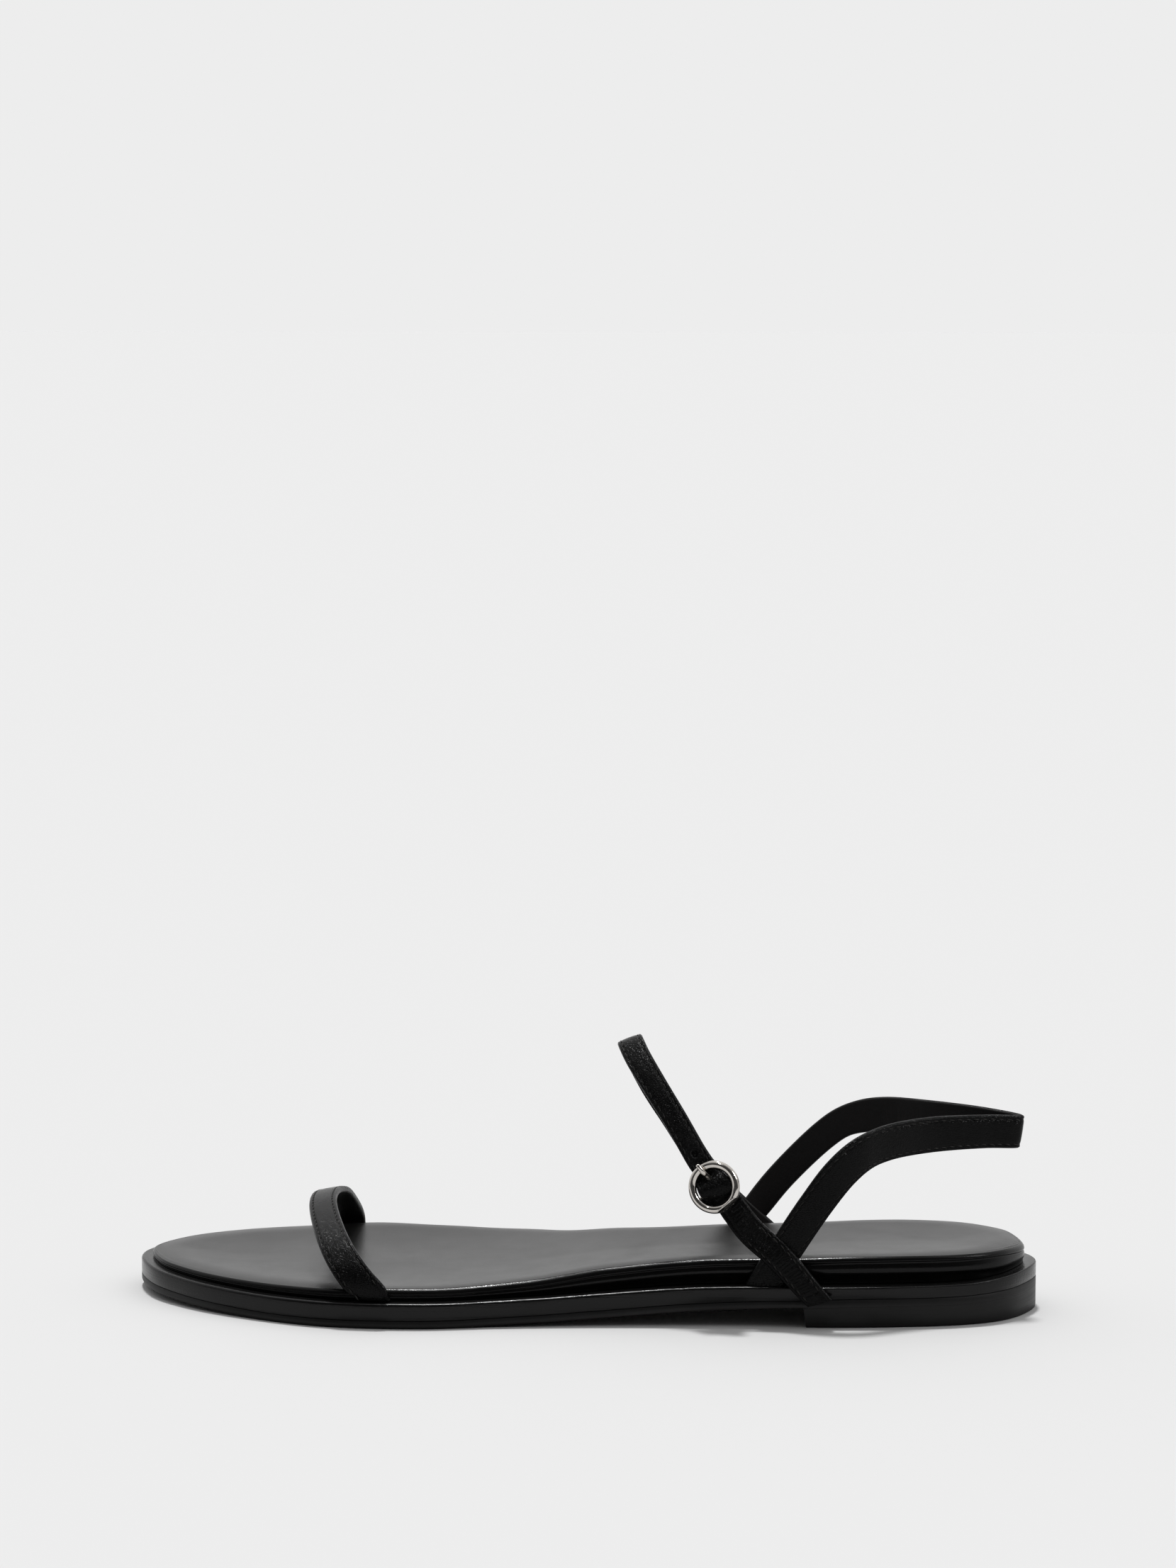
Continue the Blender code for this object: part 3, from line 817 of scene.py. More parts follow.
@dataclass
class Sole:
    """Outsole, heel block, midsole band and padded insole.

    Shares are of the size that they are named with.  The rings of the bead and the crease are
    placed in shares of the side below the shoulder.
    """

    last: Last = field(default_factory=Last)
    edge_break: float = 0.45 * MM
    break_middle_share: float = 0.3
    seam_break: float = 0.16 * MM
    seam_gap_share: float = 0.3
    hidden_cuts: int = 2
    midsole_radius: float = 0.8 * MM
    midsole_steps: int = 7
    heel_breast: float = 65.0 * MM
    heel_lean: float = 0.5 * MM
    heel_divisions: int = 60
    heel_crisp: float = math.radians(50)
    heel_edge_share: float = 0.5
    heel_edge_span: Range = (30.0 * MM, 60.0 * MM)
    insole_rim: float = 3.3 * MM
    undercut_depth: float = 1.2 * MM
    undercut_full: float = 2.0 * MM
    undercut_least_share: float = 0.25
    bead_span: Range = (0.05, 0.8)
    bead_rings: int = 7
    bead_shift: float = 0.1
    bead_bulge_share: float = 0.5
    crease_depth: float = 0.38 * MM
    crease_rings: tuple[Range, ...] = ((1.0, 0.9), (0.35, 0.97))
    shoulder_share: float = 0.62
    shoulder_steps: int = 11
    dish_reach: float = 32.0 * MM
    top_cuts: int = 44
    top_slope: float = 0.93
    #        along  fall  reach  dish  shoulder  drop  arch
    top_rows: tuple[TopRow, ...] = (
        TopRow(-128.0, 0.9, 7.0, 1.4, 1.5, 0.9, 0.0),
        TopRow(-90.0, 1.0, 7.5, 1.9, 1.8, 1.1, 0.8),
        TopRow(-66.0, 0.8, 6.0, 1.9, 1.8, 0.9, 1.5),
        TopRow(-48.0, 0.4, 4.0, 1.9, 1.9, 0.5, 0.8),
        TopRow(0.0, 0.4, 4.0, 1.0, 1.9, 0.5, 1.2),
        TopRow(40.0, 0.4, 4.0, 1.1, 1.6, 0.5, 0.4),
        TopRow(70.0, 0.4, 4.0, 1.4, 1.3, 0.5, 0.0),
        TopRow(104.0, 0.6, 6.0, 1.3, 1.2, 0.5, 0.0),
        TopRow(128.0, 1.2, 10.0, 0.9, 1.2, 0.5, 0.0),
    )

    def arc(self, steps: int) -> list[Range]:
        """Quarter turn from upright to flat: shares of the radius inwards, and still to climb."""
        turns = np.linspace(0.0, QUARTER_TURN, steps)
        return [(1.0 - math.cos(turn), 1.0 - math.sin(turn)) for turn in turns]

    def tightness(self, along: np.ndarray) -> np.ndarray:
        """Share of an edge radius at each station: full in front, less at the heel."""
        return np.interp(along, self.heel_edge_span, [1.0, self.heel_edge_share])

    def finish(self, name: str, bm: Mesh, finishes: Sequence[Finish], slot: str,
               node: str) -> bpy.types.Object:
        """Dresses one layer, which is lit with the sole."""
        return finish_piece(name, bm, finishes, [node], PieceGroup.SOLE)

    def build_outsole(self) -> None:
        """Thin sheet whose lower edge is broken in front of the heel."""
        ahead = self.last.table_ring()[:, 0] < self.heel_breast
        middle = self.break_middle_share * self.edge_break
        rings = [
            self.last.ring(self.edge_break * ahead, lambda at: at.underside),
            self.last.ring(middle * ahead, lambda at: at.underside + middle),
            self.last.ring(0.0, lambda at: at.underside + self.edge_break),
            self.last.ring(0.0, lambda at: at.outsole_top - self.seam_break),
            self.last.ring(self.seam_break, lambda at: at.outsole_top),
        ]
        bm = loft(rings, self.hidden_cuts)
        self.finish("outsole_sheet", bm, [SOLE_EDGE], "sole_sheet", "outsole")

    def heel_ring(self, inset: float, breast: float, height: float | None = None) -> np.ndarray:
        """Draws the heel block's outline: the sole's outline behind the breast line.

        Args:
            inset: distance that the outline is moved in.
            breast: station of the breast line.
            height: height above the floor; without one the ring lies against the outsole.

        Returns:
            The ring's points, outer side first.
        """
        ring = self.last.ring(inset, lambda at: at.underside) - self.last.origin()
        outer, inner = ring_halves(ring)
        share = np.sin(np.linspace(0.0, QUARTER_TURN, self.heel_divisions))
        along = breast + (outer[-1, 0] - breast) * share
        sides = [np.stack([along, np.interp(along, side[:, 0], side[:, 1])], axis=1)
                 for side in (outer, inner)]
        flat = np.vstack([sides[0], sides[1][::-1]])
        if height is None:
            up = smooth(self.last.heights, "underside", flat[:, 0])
        else:
            up = np.full(len(flat), height)
        return np.column_stack([flat, up]) + self.last.origin()

    def build_heel(self) -> None:
        """Low block that stands flush under the rear of the outsole."""
        foot = self.heel_breast + self.heel_lean
        middle = self.break_middle_share * self.edge_break
        rings = [
            self.heel_ring(self.edge_break, foot + self.edge_break, 0.0),
            self.heel_ring(middle, foot + middle, middle),
            self.heel_ring(0.0, foot, self.edge_break),
            self.heel_ring(0.0, self.heel_breast),
        ]
        bm = bmesh.new()
        add_surface(bm, np.stack(rings), closed=True)
        for ring in (rings[0], rings[-1]):
            half = len(ring) // 2
            add_surface(bm, np.stack([ring[:half], ring[half:][::-1]]))
        close_up(bm)
        for edge in bm.edges:
            edge.smooth = edge.calc_face_angle(0.0) < self.heel_crisp
        self.finish("heel_block", bm, [SOLE_EDGE], "heel_stack", "heel")

    def build_midsole(self) -> None:
        """Band with a rounded upper edge."""
        gap = self.seam_gap_share * self.seam_break
        rings = [
            self.last.ring(self.seam_break, lambda at: at.outsole_top + gap),
            self.last.ring(0.0, lambda at: at.outsole_top + gap + self.seam_break),
        ]
        radius = self.midsole_radius * self.tightness(self.last.table_ring()[:, 0])
        for inward, climb in self.arc(self.midsole_steps):
            drop = radius * climb
            rings.append(self.last.ring(radius * inward,
                                        lambda at, drop=drop: at.midsole_top - drop))
        bm = loft(rings, self.hidden_cuts)
        self.finish("midsole_band", bm, [MIDSOLE_EDGE], "midsole_leather", "midsole")

    def crown(self, points: np.ndarray, ring: np.ndarray) -> np.ndarray:
        """Shapes the footbed's top: over the shoulder, then down into the dish.

        Args:
            points: points of the top, rows by columns by three.
            ring: the top's edge.

        Returns:
            The rise of each point.
        """
        flat = points[:, :, :2].reshape(-1, 2)
        away = np.min(np.linalg.norm(flat[:, None] - ring[None, :, :2], axis=2), axis=1)
        along = flat[:, 0] - self.last.origin()[0]
        fall, reach, dish = (smooth(self.top_rows, name, along)
                             for name in ("fall", "reach", "dish"))
        rise = fall * (1.0 - np.clip(1.0 - away / reach, 0.0, 1.0) ** 2)
        rise -= dish * (1.0 - np.clip(1.0 - away / self.dish_reach, 0.0, 1.0) ** 2)
        return rise.reshape(points.shape[:2])

    def edge_height(self, at: Levels) -> np.ndarray:
        """Shapes the footbed's edge, which is lower in front and higher on the arch's side.

        Args:
            at: levels of the layers around the outline.

        Returns:
            Height of the edge.
        """
        along = self.last.table_ring()[:, 0]
        arch = smooth(self.top_rows, "arch", along)
        arch[:len(along) // 2] = 0.0
        return at.top - smooth(self.top_rows, "drop", along) + arch

    def build_insole(self) -> None:
        """Padded footbed: undercut foot, bead, crease, rounded shoulder and dished top."""
        rim = self.insole_rim
        along = self.last.table_ring()[:, 0]
        undercut = smooth(self.last.heights, "undercut", along) / self.undercut_full
        depth = self.undercut_depth * np.clip(undercut, self.undercut_least_share, 1.0)
        levels = self.last.levels(along)
        side = self.edge_height(levels) - levels.bead
        shoulder = np.minimum(self.shoulder_share * side,
                              smooth(self.top_rows, "shoulder", along))
        below = 1.0 - shoulder / side

        def up_side(share: float) -> HeightRule:
            """Heights at a share of the side below the shoulder."""
            return lambda at: at.bead + share * below * (self.edge_height(at) - at.bead)

        rings = [
            self.last.ring(rim + depth, lambda at: at.midsole_top),
            self.last.ring(rim + depth, lambda at: at.insole),
            self.last.ring(rim + depth, up_side(0.0)),
        ]
        for share in np.linspace(*self.bead_span, self.bead_rings):
            bulge = math.sin(math.pi * (share + self.bead_shift))
            rings.append(self.last.ring(rim + self.bead_bulge_share * depth * (1.0 - bulge),
                                        up_side(share)))
        for inward, share in self.crease_rings:
            rings.append(self.last.ring(rim + inward * self.crease_depth, up_side(share)))
        for inward, climb in self.arc(self.shoulder_steps):
            drop = shoulder * climb
            rings.append(self.last.ring(rim + shoulder * inward,
                                        lambda at, drop=drop: self.edge_height(at) - drop))
        edge = rings[-1]
        bm = loft(rings, self.top_cuts, lambda points: self.crown(points, edge))
        for face in bm.faces:
            face.material_index = int(face.normal.z < self.top_slope)
        piece = self.finish("padded_insole", bm, [FOOTBED_LEATHER, FOOTBED_EDGE],
                            "footbed_leather", "insole")

    def build(self) -> None:
        """Builds all layers, from the floor up."""
        self.build_outsole()
        self.build_heel()
        self.build_midsole()
        self.build_insole()


# Straps


class StrapFrames(NamedTuple):
    """Stations along a strap: places, directions, widths and distances from its start."""

    points: np.ndarray
    runs: np.ndarray
    sides: np.ndarray
    outs: np.ndarray
    widths: np.ndarray
    along: np.ndarray


OutwardRule = Callable[[np.ndarray], np.ndarray]
HEEL_STRAP_LEAN = 0.14


def over_foot(pitch: float) -> OutwardRule:
    """Turns a strap that runs from the outer side over the foot to the inner side.

    Args:
        pitch: lean of its face towards the toe.

    Returns:
        A rule that takes the strap's directions and gives the outward ones.
    """
    def outward(runs: np.ndarray) -> np.ndarray:
        """Outward directions of the strap's face."""
        return np.stack([-pitch * np.maximum(runs[:, 1], 0.0), -runs[:, 2], runs[:, 1]], axis=1)
    return outward


def around_heel(runs: np.ndarray) -> np.ndarray:
    """Outward directions of a strap that runs level around the back of the heel."""
    return np.stack([runs[:, 1], -runs[:, 0], -HEEL_STRAP_LEAN * runs[:, 1] ** 2], axis=1)


@dataclass(frozen=True)
class Creases:
    """Fine creases across a stretch of a strap.

    Each one is drawn at random: its place, lean and breadth in shares of a step, its reach and
    shift in shares of half the strap's width, and its strength.
    """

    start: float
    stop: float
    count: int
    depth: float
    side: StrapSide
    seed: int = 3
    place: Range = (0.25, 0.75)
    lean: Range = (-0.35, 0.35)
    breadth: Range = (0.2, 0.36)
    reach: Range = (0.45, 0.8)
    shift: Range = (-0.25, 0.25)
    strength: Range = (0.5, 1.0)

    def relief(self, along: np.ndarray, across: np.ndarray) -> np.ndarray:
        """Presses the creases in.

        Args:
            along: distance from the strap's start, as a column.
            across: place across the strap from -1 to 1, as a row.

        Returns:
            How far each point is pressed in.
        """
        draw = random.Random(self.seed)
        pressed = np.zeros(np.broadcast(along, across).shape)
        step = (self.stop - self.start) / self.count
        for k in range(self.count):
            middle = self.start + step * (k + draw.uniform(*self.place))
            lean = draw.uniform(*self.lean) * step
            breadth = draw.uniform(*self.breadth) * step
            reach, shift = draw.uniform(*self.reach), draw.uniform(*self.shift)
            fade = np.clip(1.0 - ((across - shift) / reach) ** 2, 0.0, 1.0)
            line = np.exp(-((along - middle - lean * across) / breadth) ** 2)
            pressed += draw.uniform(*self.strength) * self.depth * line * fade
        return pressed


@dataclass(frozen=True)
class PunchHole:
    """A punched hole on a strap's middle line, whose wall falls over a share of its radius."""

    at: float
    radius: float = 0.85 * MM
    depth: float = 1.0 * MM
    wall: float = 0.5

    def relief(self, along: np.ndarray, across: np.ndarray) -> np.ndarray:
        """Depth of the hole at the given distances along and across the strap."""
        away = np.hypot(along - self.at, across) / self.radius
        return self.depth * np.clip((1.0 - away) / self.wall + 0.5, 0.0, 1.0)


@dataclass
class Strap:
    """A strip of folded leather with a lining and two rows of stitches."""

    name: str
    path: np.ndarray
    thickness: float
    outward: OutwardRule
    ends: tuple[EndCut, EndCut]
    replaces: str
    spacing: float = 0.4 * MM
    face_points: int = 27
    edge_points: int = 9
    under_points: int = 17
    end_reach: float = 14.0 * MM
    crown: float = 0.14 * MM
    edge_radius: float = 0.7 * MM
    edge_sweep: float = math.radians(75)
    seam_depth: float = 0.13 * MM
    seam_turn: float = -0.35
    seam_width: float = 0.14
    lining_lap: tuple[int, int] = (3, 2)
    stitch_inset: float = 1.2 * MM
    stitch_pitch: float = 2.4 * MM
    stitch_length: float = 1.75 * MM
    stitch_width: float = 0.42 * MM
    stitch_lean: float = math.radians(9)
    stitch_sides: int = 6
    stitch_margin: Range = (3.0 * MM, 3.0 * MM)
    groove_depth: float = 0.15 * MM
    groove_width: float = 0.34 * MM
    skived: float = 0.0
    skived_share: float = 0.1
    creases: Sequence[Creases] = ()
    holes: Sequence[PunchHole] = ()

    def frames(self) -> StrapFrames:
        """Divides the strap evenly.

        Returns:
            The stations.
        """
        line = dense_curve(self.path)
        points = resample(line, int(run_length(line)[-1] / self.spacing) + 1)
        runs = unit(np.gradient(points[:, :3], axis=0))
        outs = self.outward(runs)
        outs = unit(outs - np.sum(outs * runs, axis=1, keepdims=True) * runs)
        return StrapFrames(points[:, :3], runs, np.cross(runs, outs), outs, points[:, 3],
                           run_length(points))

    def end_share(self, along: np.ndarray) -> np.ndarray:
        """Fades the cuts in from the two ends.

        Args:
            along: distance of each station from the strap's start.

        Returns:
            How much of a level cut each station takes.
        """
        start, stop = (cut.value * np.clip(1.0 - away / self.end_reach, 0.0, 1.0)
                       for cut, away in zip(self.ends, (along, along[-1] - along)))
        return start + stop

    def creased(self, side: StrapSide, along: np.ndarray, across: np.ndarray) -> np.ndarray:
        """Adds up the creases of one side.

        Args:
            side: the side.
            along: distance from the strap's start, as a column.
            across: place across the strap from -1 to 1, as a row.

        Returns:
            How far each point is pressed in.
        """
        pressed = np.zeros(np.broadcast(along, across).shape)
        for crease in self.creases:
            if crease.side is side:
                pressed += crease.relief(along, across)
        return pressed

    def section(self, frames: StrapFrames) -> tuple[np.ndarray, np.ndarray]:
        """Draws the cross-sections: face, one edge, lining and the other edge.

        Args:
            frames: the stations.

        Returns:
            Offsets across and outwards, stations by points.
        """
        half, deep, edge = 0.5 * frames.widths[:, None], 0.5 * self.thickness, self.edge_radius
        along = frames.along[:, None]
        face = np.linspace(-1.0, 1.0, self.face_points)[None, :]
        flat = face * (half - edge)
        groove = np.exp(-((np.abs(flat) - half + self.stitch_inset) / self.groove_width) ** 2)
        lift = deep + self.crown * (1.0 - face ** 2) - self.groove_depth * groove
        lift = lift - self.creased(StrapSide.LEATHER, along, face)
        for hole in self.holes:
            lift = lift - hole.relief(along, flat)
        turns = np.linspace(self.edge_sweep, -self.edge_sweep, self.edge_points)[None, :]
        seam = self.seam_depth * np.exp(-((turns - self.seam_turn) / self.seam_width) ** 2)
        right = half - edge + edge * np.cos(turns) - seam
        drop = np.broadcast_to(deep * np.sin(turns), right.shape)
        under = np.linspace(1.0, -1.0, self.under_points)[None, :]
        base = self.creased(StrapSide.LINING, along, under) - deep
        across = np.hstack([flat, right, under * (half - edge), -right[:, ::-1]])
        out = np.hstack([lift, drop, base, drop[:, ::-1]])
        if self.skived:
            left = np.interp(along, [0.0, self.skived], [self.skived_share, 1.0])
            out = left * (out + deep) - deep
        return across, out

    def slots(self) -> list[int]:
        """Gives the lining the underside and a little of both edges.

        Returns:
            Material slot of each point of the cross-section.
        """
        near_lap, far_lap = self.lining_lap
        sides = [StrapSide.LEATHER] * (self.face_points + self.edge_points - near_lap)
        sides += [StrapSide.LINING] * (near_lap + self.under_points + far_lap)
        sides += [StrapSide.LEATHER] * (self.edge_points - far_lap)
        return [side.value for side in sides]

    def build_leather(self) -> None:
        """Sweeps the leather and its lining."""
        frames = self.frames()
        across, out = self.section(frames)
        offsets = (across[:, :, None] * frames.sides[:, None]
                   + out[:, :, None] * frames.outs[:, None])
        cut = self.end_share(frames.along)
        slope = np.where(cut > 0.0, cut / np.where(cut > 0.0, frames.runs[:, 2], 1.0), 0.0)
        slid = (slope[:, None] * offsets[:, :, 2])[:, :, None] * frames.runs[:, None]
        bm = bmesh.new()
        add_surface(bm, frames.points[:, None] + offsets - slid, closed=True, slots=self.slots())
        close_up(bm)
        finish_piece(self.name + "_leather", bm, [STRAP_LEATHER, STRAP_LINING],
                     [self.replaces])

    def stitch_places(self) -> list[Matrix]:
        """Lays out the stitches.

        Returns:
            Placements of all stitches in the two rows.
        """
        frames = self.frames()
        low, high = self.stitch_margin[0], frames.along[-1] - self.stitch_margin[1]
        lift = 0.5 * self.thickness - 0.5 * self.groove_depth
        places = []
        for row in (-1.0, 1.0):
            for k in range(int((high - low) / self.stitch_pitch)):
                at = low + self.stitch_pitch * (k + 0.5)
                point, run, side, out = (
                    np.array([np.interp(at, frames.along, values) for values in part.T])
                    for part in (frames.points, frames.runs, frames.sides, frames.outs)
                )
                half = 0.5 * np.interp(at, frames.along, frames.widths)
                across = row * (half - self.stitch_inset)
                turned = math.cos(self.stitch_lean) * run + math.sin(self.stitch_lean) * side
                places.append(self.stitch_matrix(point + across * side + lift * out, turned, out))
        return places

    def stitch_matrix(self, middle: np.ndarray, run: np.ndarray, out: np.ndarray) -> Matrix:
        """Places one stitch on the leather.

        Args:
            middle: its middle.
            run: its direction.
            out: direction out from the leather.

        Returns:
            The placement of a ball of radius one.
        """
        run, out = Vector(run).normalized(), Vector(out).normalized()
        turn = Matrix((run, out.cross(run), out)).transposed().to_4x4()
        thick = 0.5 * self.stitch_width
        size = Matrix.Diagonal((0.5 * self.stitch_length, thick, thick, 1.0))
        return Matrix.Translation(middle) @ turn @ size

    def build_stitches(self) -> None:
        """One small spindle of thread for each stitch."""
        bm = bmesh.new()
        lengthwise = Matrix.Rotation(QUARTER_TURN, 4, "Y")
        for place in self.stitch_places():
            bmesh.ops.create_uvsphere(bm, u_segments=self.stitch_sides,
                                      v_segments=self.stitch_sides, radius=1.0,
                                      matrix=place @ lengthwise)
        finish_piece(self.name + "_stitches", bm, [THREAD])

    def build(self) -> None:
        """Builds the strap and its stitches."""
        self.build_leather()
        self.build_stitches()


# Buckle


def wire(line: np.ndarray, radii: np.ndarray, sides: int, closed: bool = False) -> np.ndarray:
    """Draws a round wire.

    Args:
        line: points of its middle line.
        radii: its radius at each point.
        sides: points of each ring.
        closed: whether the line ends where it starts.

    Returns:
        Rings by points by three.
    """
    if closed:
        runs = unit(np.roll(line, -1, axis=0) - np.roll(line, 1, axis=0))
    else:
        runs = unit(np.gradient(line, axis=0))
    normal = np.cross(runs, [0.0, 0.0, 1.0])
    normal[np.linalg.norm(normal, axis=1) < PARALLEL] = [0.0, 1.0, 0.0]
    normal = unit(normal)
    second = np.cross(runs, normal)
    turns = np.linspace(0.0, 2.0 * math.pi, sides, endpoint=False)[None, :, None]
    around = np.cos(turns) * normal[:, None] + np.sin(turns) * second[:, None]
    rings = line[:, None] + around * np.reshape(radii, (-1, 1, 1))
    return np.concatenate([rings, rings[:1]]) if closed else rings


@dataclass
class Buckle:
    """Ring buckle with its bar and prong.

    Its own axes are X down the strap, Y across it and Z out from the foot.
    """

    origin: np.ndarray
    centre: Triple = (40.3 * MM, -27.3 * MM, 38.0 * MM)
    down_strap: Triple = (0.627, -0.234, -0.743)
    pitch: float = 0.4
    ring_radius: float = 6.25 * MM
    ring_wire: float = 1.12 * MM
    ring_sides: int = 28
    ring_steps: int = 120
    ring_aside: float = -0.2 * MM
    ring_turn: float = math.radians(9)
    ring_lift: float = 3.6 * MM
    flat_reach: float = 6.65 * MM
    flat_tilt: float = math.radians(30)
    flat_break: float = 0.16 * MM
    flat_break_steps: int = 3
    bar_wire: float = 0.6 * MM
    bar_sides: int = 12
    bar_half_span: float = 4.9 * MM
    bar_corner: Range = (0.6 * MM, 0.7 * MM)
    bar_tuck: float = 0.2 * MM
    eye_radius: float = 1.2 * MM
    eye_wire: float = 0.28 * MM
    eye_sides: int = 8
    eye_steps: int = 24
    eye_coils: int = 3
    eye_half_width: float = 0.5 * MM
    prong_root: float = 1.1 * MM
    prong_tip: float = 0.6 * MM
    prong_sides: int = 16
    prong_steps: int = 40
    tip_round: float = 0.06
    tip_over: float = 0.02
    prong: tuple[PassRow, ...] = (
        PassRow(-1.1, 0.6),
        PassRow(-2.6, 2.1),
        PassRow(-4.1, 3.9),
        PassRow(-5.0, 5.1),
        PassRow(-6.4, 5.7),
        PassRow(-7.6, 5.75),
    )

    def axes(self) -> Matrix:
        """Turns the buckle onto its strap.

        Returns:
            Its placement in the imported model.
        """
        down = Vector(self.down_strap).normalized()
        out = Vector(over_foot(self.pitch)(-np.array([down]))[0])
        out = (out - out.dot(down) * down).normalized()
        turn = Matrix((down, out.cross(down), out)).transposed()
        return Matrix.Translation(Vector(self.centre) + Vector(self.origin)) @ turn.to_4x4()

    def placed(self, rows: Sequence[PassRow]) -> np.ndarray:
        """Places a strap that is given in the buckle's axes.

        Args:
            rows: its points and widths.

        Returns:
            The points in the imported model, each with its width.
        """
        axes = self.axes()
        points = [axes @ (Vector((row.reach, row.aside, row.lift)) * MM) for row in rows]
        return np.column_stack([np.array(points), column(rows, "width")])

    def bar_line(self) -> np.ndarray:
        """Draws the middle line of the sunken bar.

        Returns:
            Its points from side to side of the ring.
        """
        out, up = self.bar_corner
        half = [(0.0, self.bar_half_span, 0.0), (0.0, self.bar_half_span + out, up),
                (0.0, self.ring_radius - self.bar_tuck, self.ring_lift)]
        other = [(x, -y, z) for x, y, z in half]
        return np.array(other[::-1] + half)

    def build_ring(self) -> None:
        """Polished ring with a flat cut towards the sole, and its bar."""
        bm = bmesh.new()
        middle = Vector((0.0, 0.0, self.ring_lift))
        start = Matrix.Translation(middle - Vector((self.ring_radius, 0.0, 0.0)))
        bmesh.ops.create_circle(bm, segments=self.ring_sides, radius=self.ring_wire,
                                matrix=start @ Matrix.Rotation(QUARTER_TURN, 4, "X"))
        bmesh.ops.spin(bm, geom=bm.verts[:] + bm.edges[:], cent=middle, axis=(0.0, 0.0, 1.0),
                       angle=2.0 * math.pi, steps=self.ring_steps, use_merge=True)
        bmesh.ops.remove_doubles(bm, verts=bm.verts, dist=5.0 * WELD)
        bmesh.ops.bisect_plane(bm, geom=bm.verts[:] + bm.edges[:] + bm.faces[:], dist=10.0 * WELD,
                               plane_co=(self.flat_reach, 0.0, self.ring_lift), clear_outer=True,
                               plane_no=(math.cos(self.flat_tilt), 0.0, math.sin(self.flat_tilt)))
        cut_edges = [edge for edge in bm.edges if edge.is_boundary]
        bmesh.ops.holes_fill(bm, edges=cut_edges, sides=0)
        bmesh.ops.bevel(bm, geom=cut_edges, offset=self.flat_break, segments=self.flat_break_steps,
                        profile=0.5, affect="EDGES", material=-1)
        bar = self.bar_line()
        add_surface(bm, wire(bar, np.full(len(bar), self.bar_wire), self.bar_sides), closed=True)
        close_up(bm)
        bmesh.ops.rotate(bm, cent=middle, matrix=Matrix.Rotation(self.ring_turn, 3, "X"),
                         verts=bm.verts)
        bmesh.ops.translate(bm, vec=(0.0, self.ring_aside, 0.0), verts=bm.verts)
        bmesh.ops.transform(bm, matrix=self.axes(), verts=bm.verts)
        finish_piece("buckle_ring", bm, [NICKEL], ["buckle_frame"])

    def build_prong(self) -> None:
        """Tapered tongue that is coiled around the bar and lies on the ring."""
        reach, lift = column(self.prong, "reach"), column(self.prong, "lift")
        line = resample(dense_curve(np.column_stack([reach, 0.0 * reach, lift])), self.prong_steps)
        share = np.linspace(0.0, 1.0, len(line))
        radii = self.prong_root + (self.prong_tip - self.prong_root) * share
        radii *= np.sqrt(np.clip((1.0 + self.tip_over - share) / self.tip_round, 0.0, 1.0))
        bm = bmesh.new()
        add_surface(bm, wire(line, radii, self.prong_sides), closed=True)
        turns = np.linspace(-math.pi, math.pi, self.eye_steps, endpoint=False)
        for across in np.linspace(-self.eye_half_width, self.eye_half_width, self.eye_coils):
            eye = np.stack([self.eye_radius * np.cos(turns), np.full(len(turns), across),
                            self.eye_radius * np.sin(turns)], axis=1)
            coil = wire(eye, np.full(len(eye), self.eye_wire), self.eye_sides, closed=True)
            add_surface(bm, coil, closed=True)
        close_up(bm)
        bmesh.ops.transform(bm, matrix=self.axes(), verts=bm.verts)
        finish_piece("buckle_tongue", bm, [NICKEL], ["buckle_prong"])

    def build(self) -> None:
        """Builds the ring and the prong."""
        self.build_ring()
        self.build_prong()


# Upper


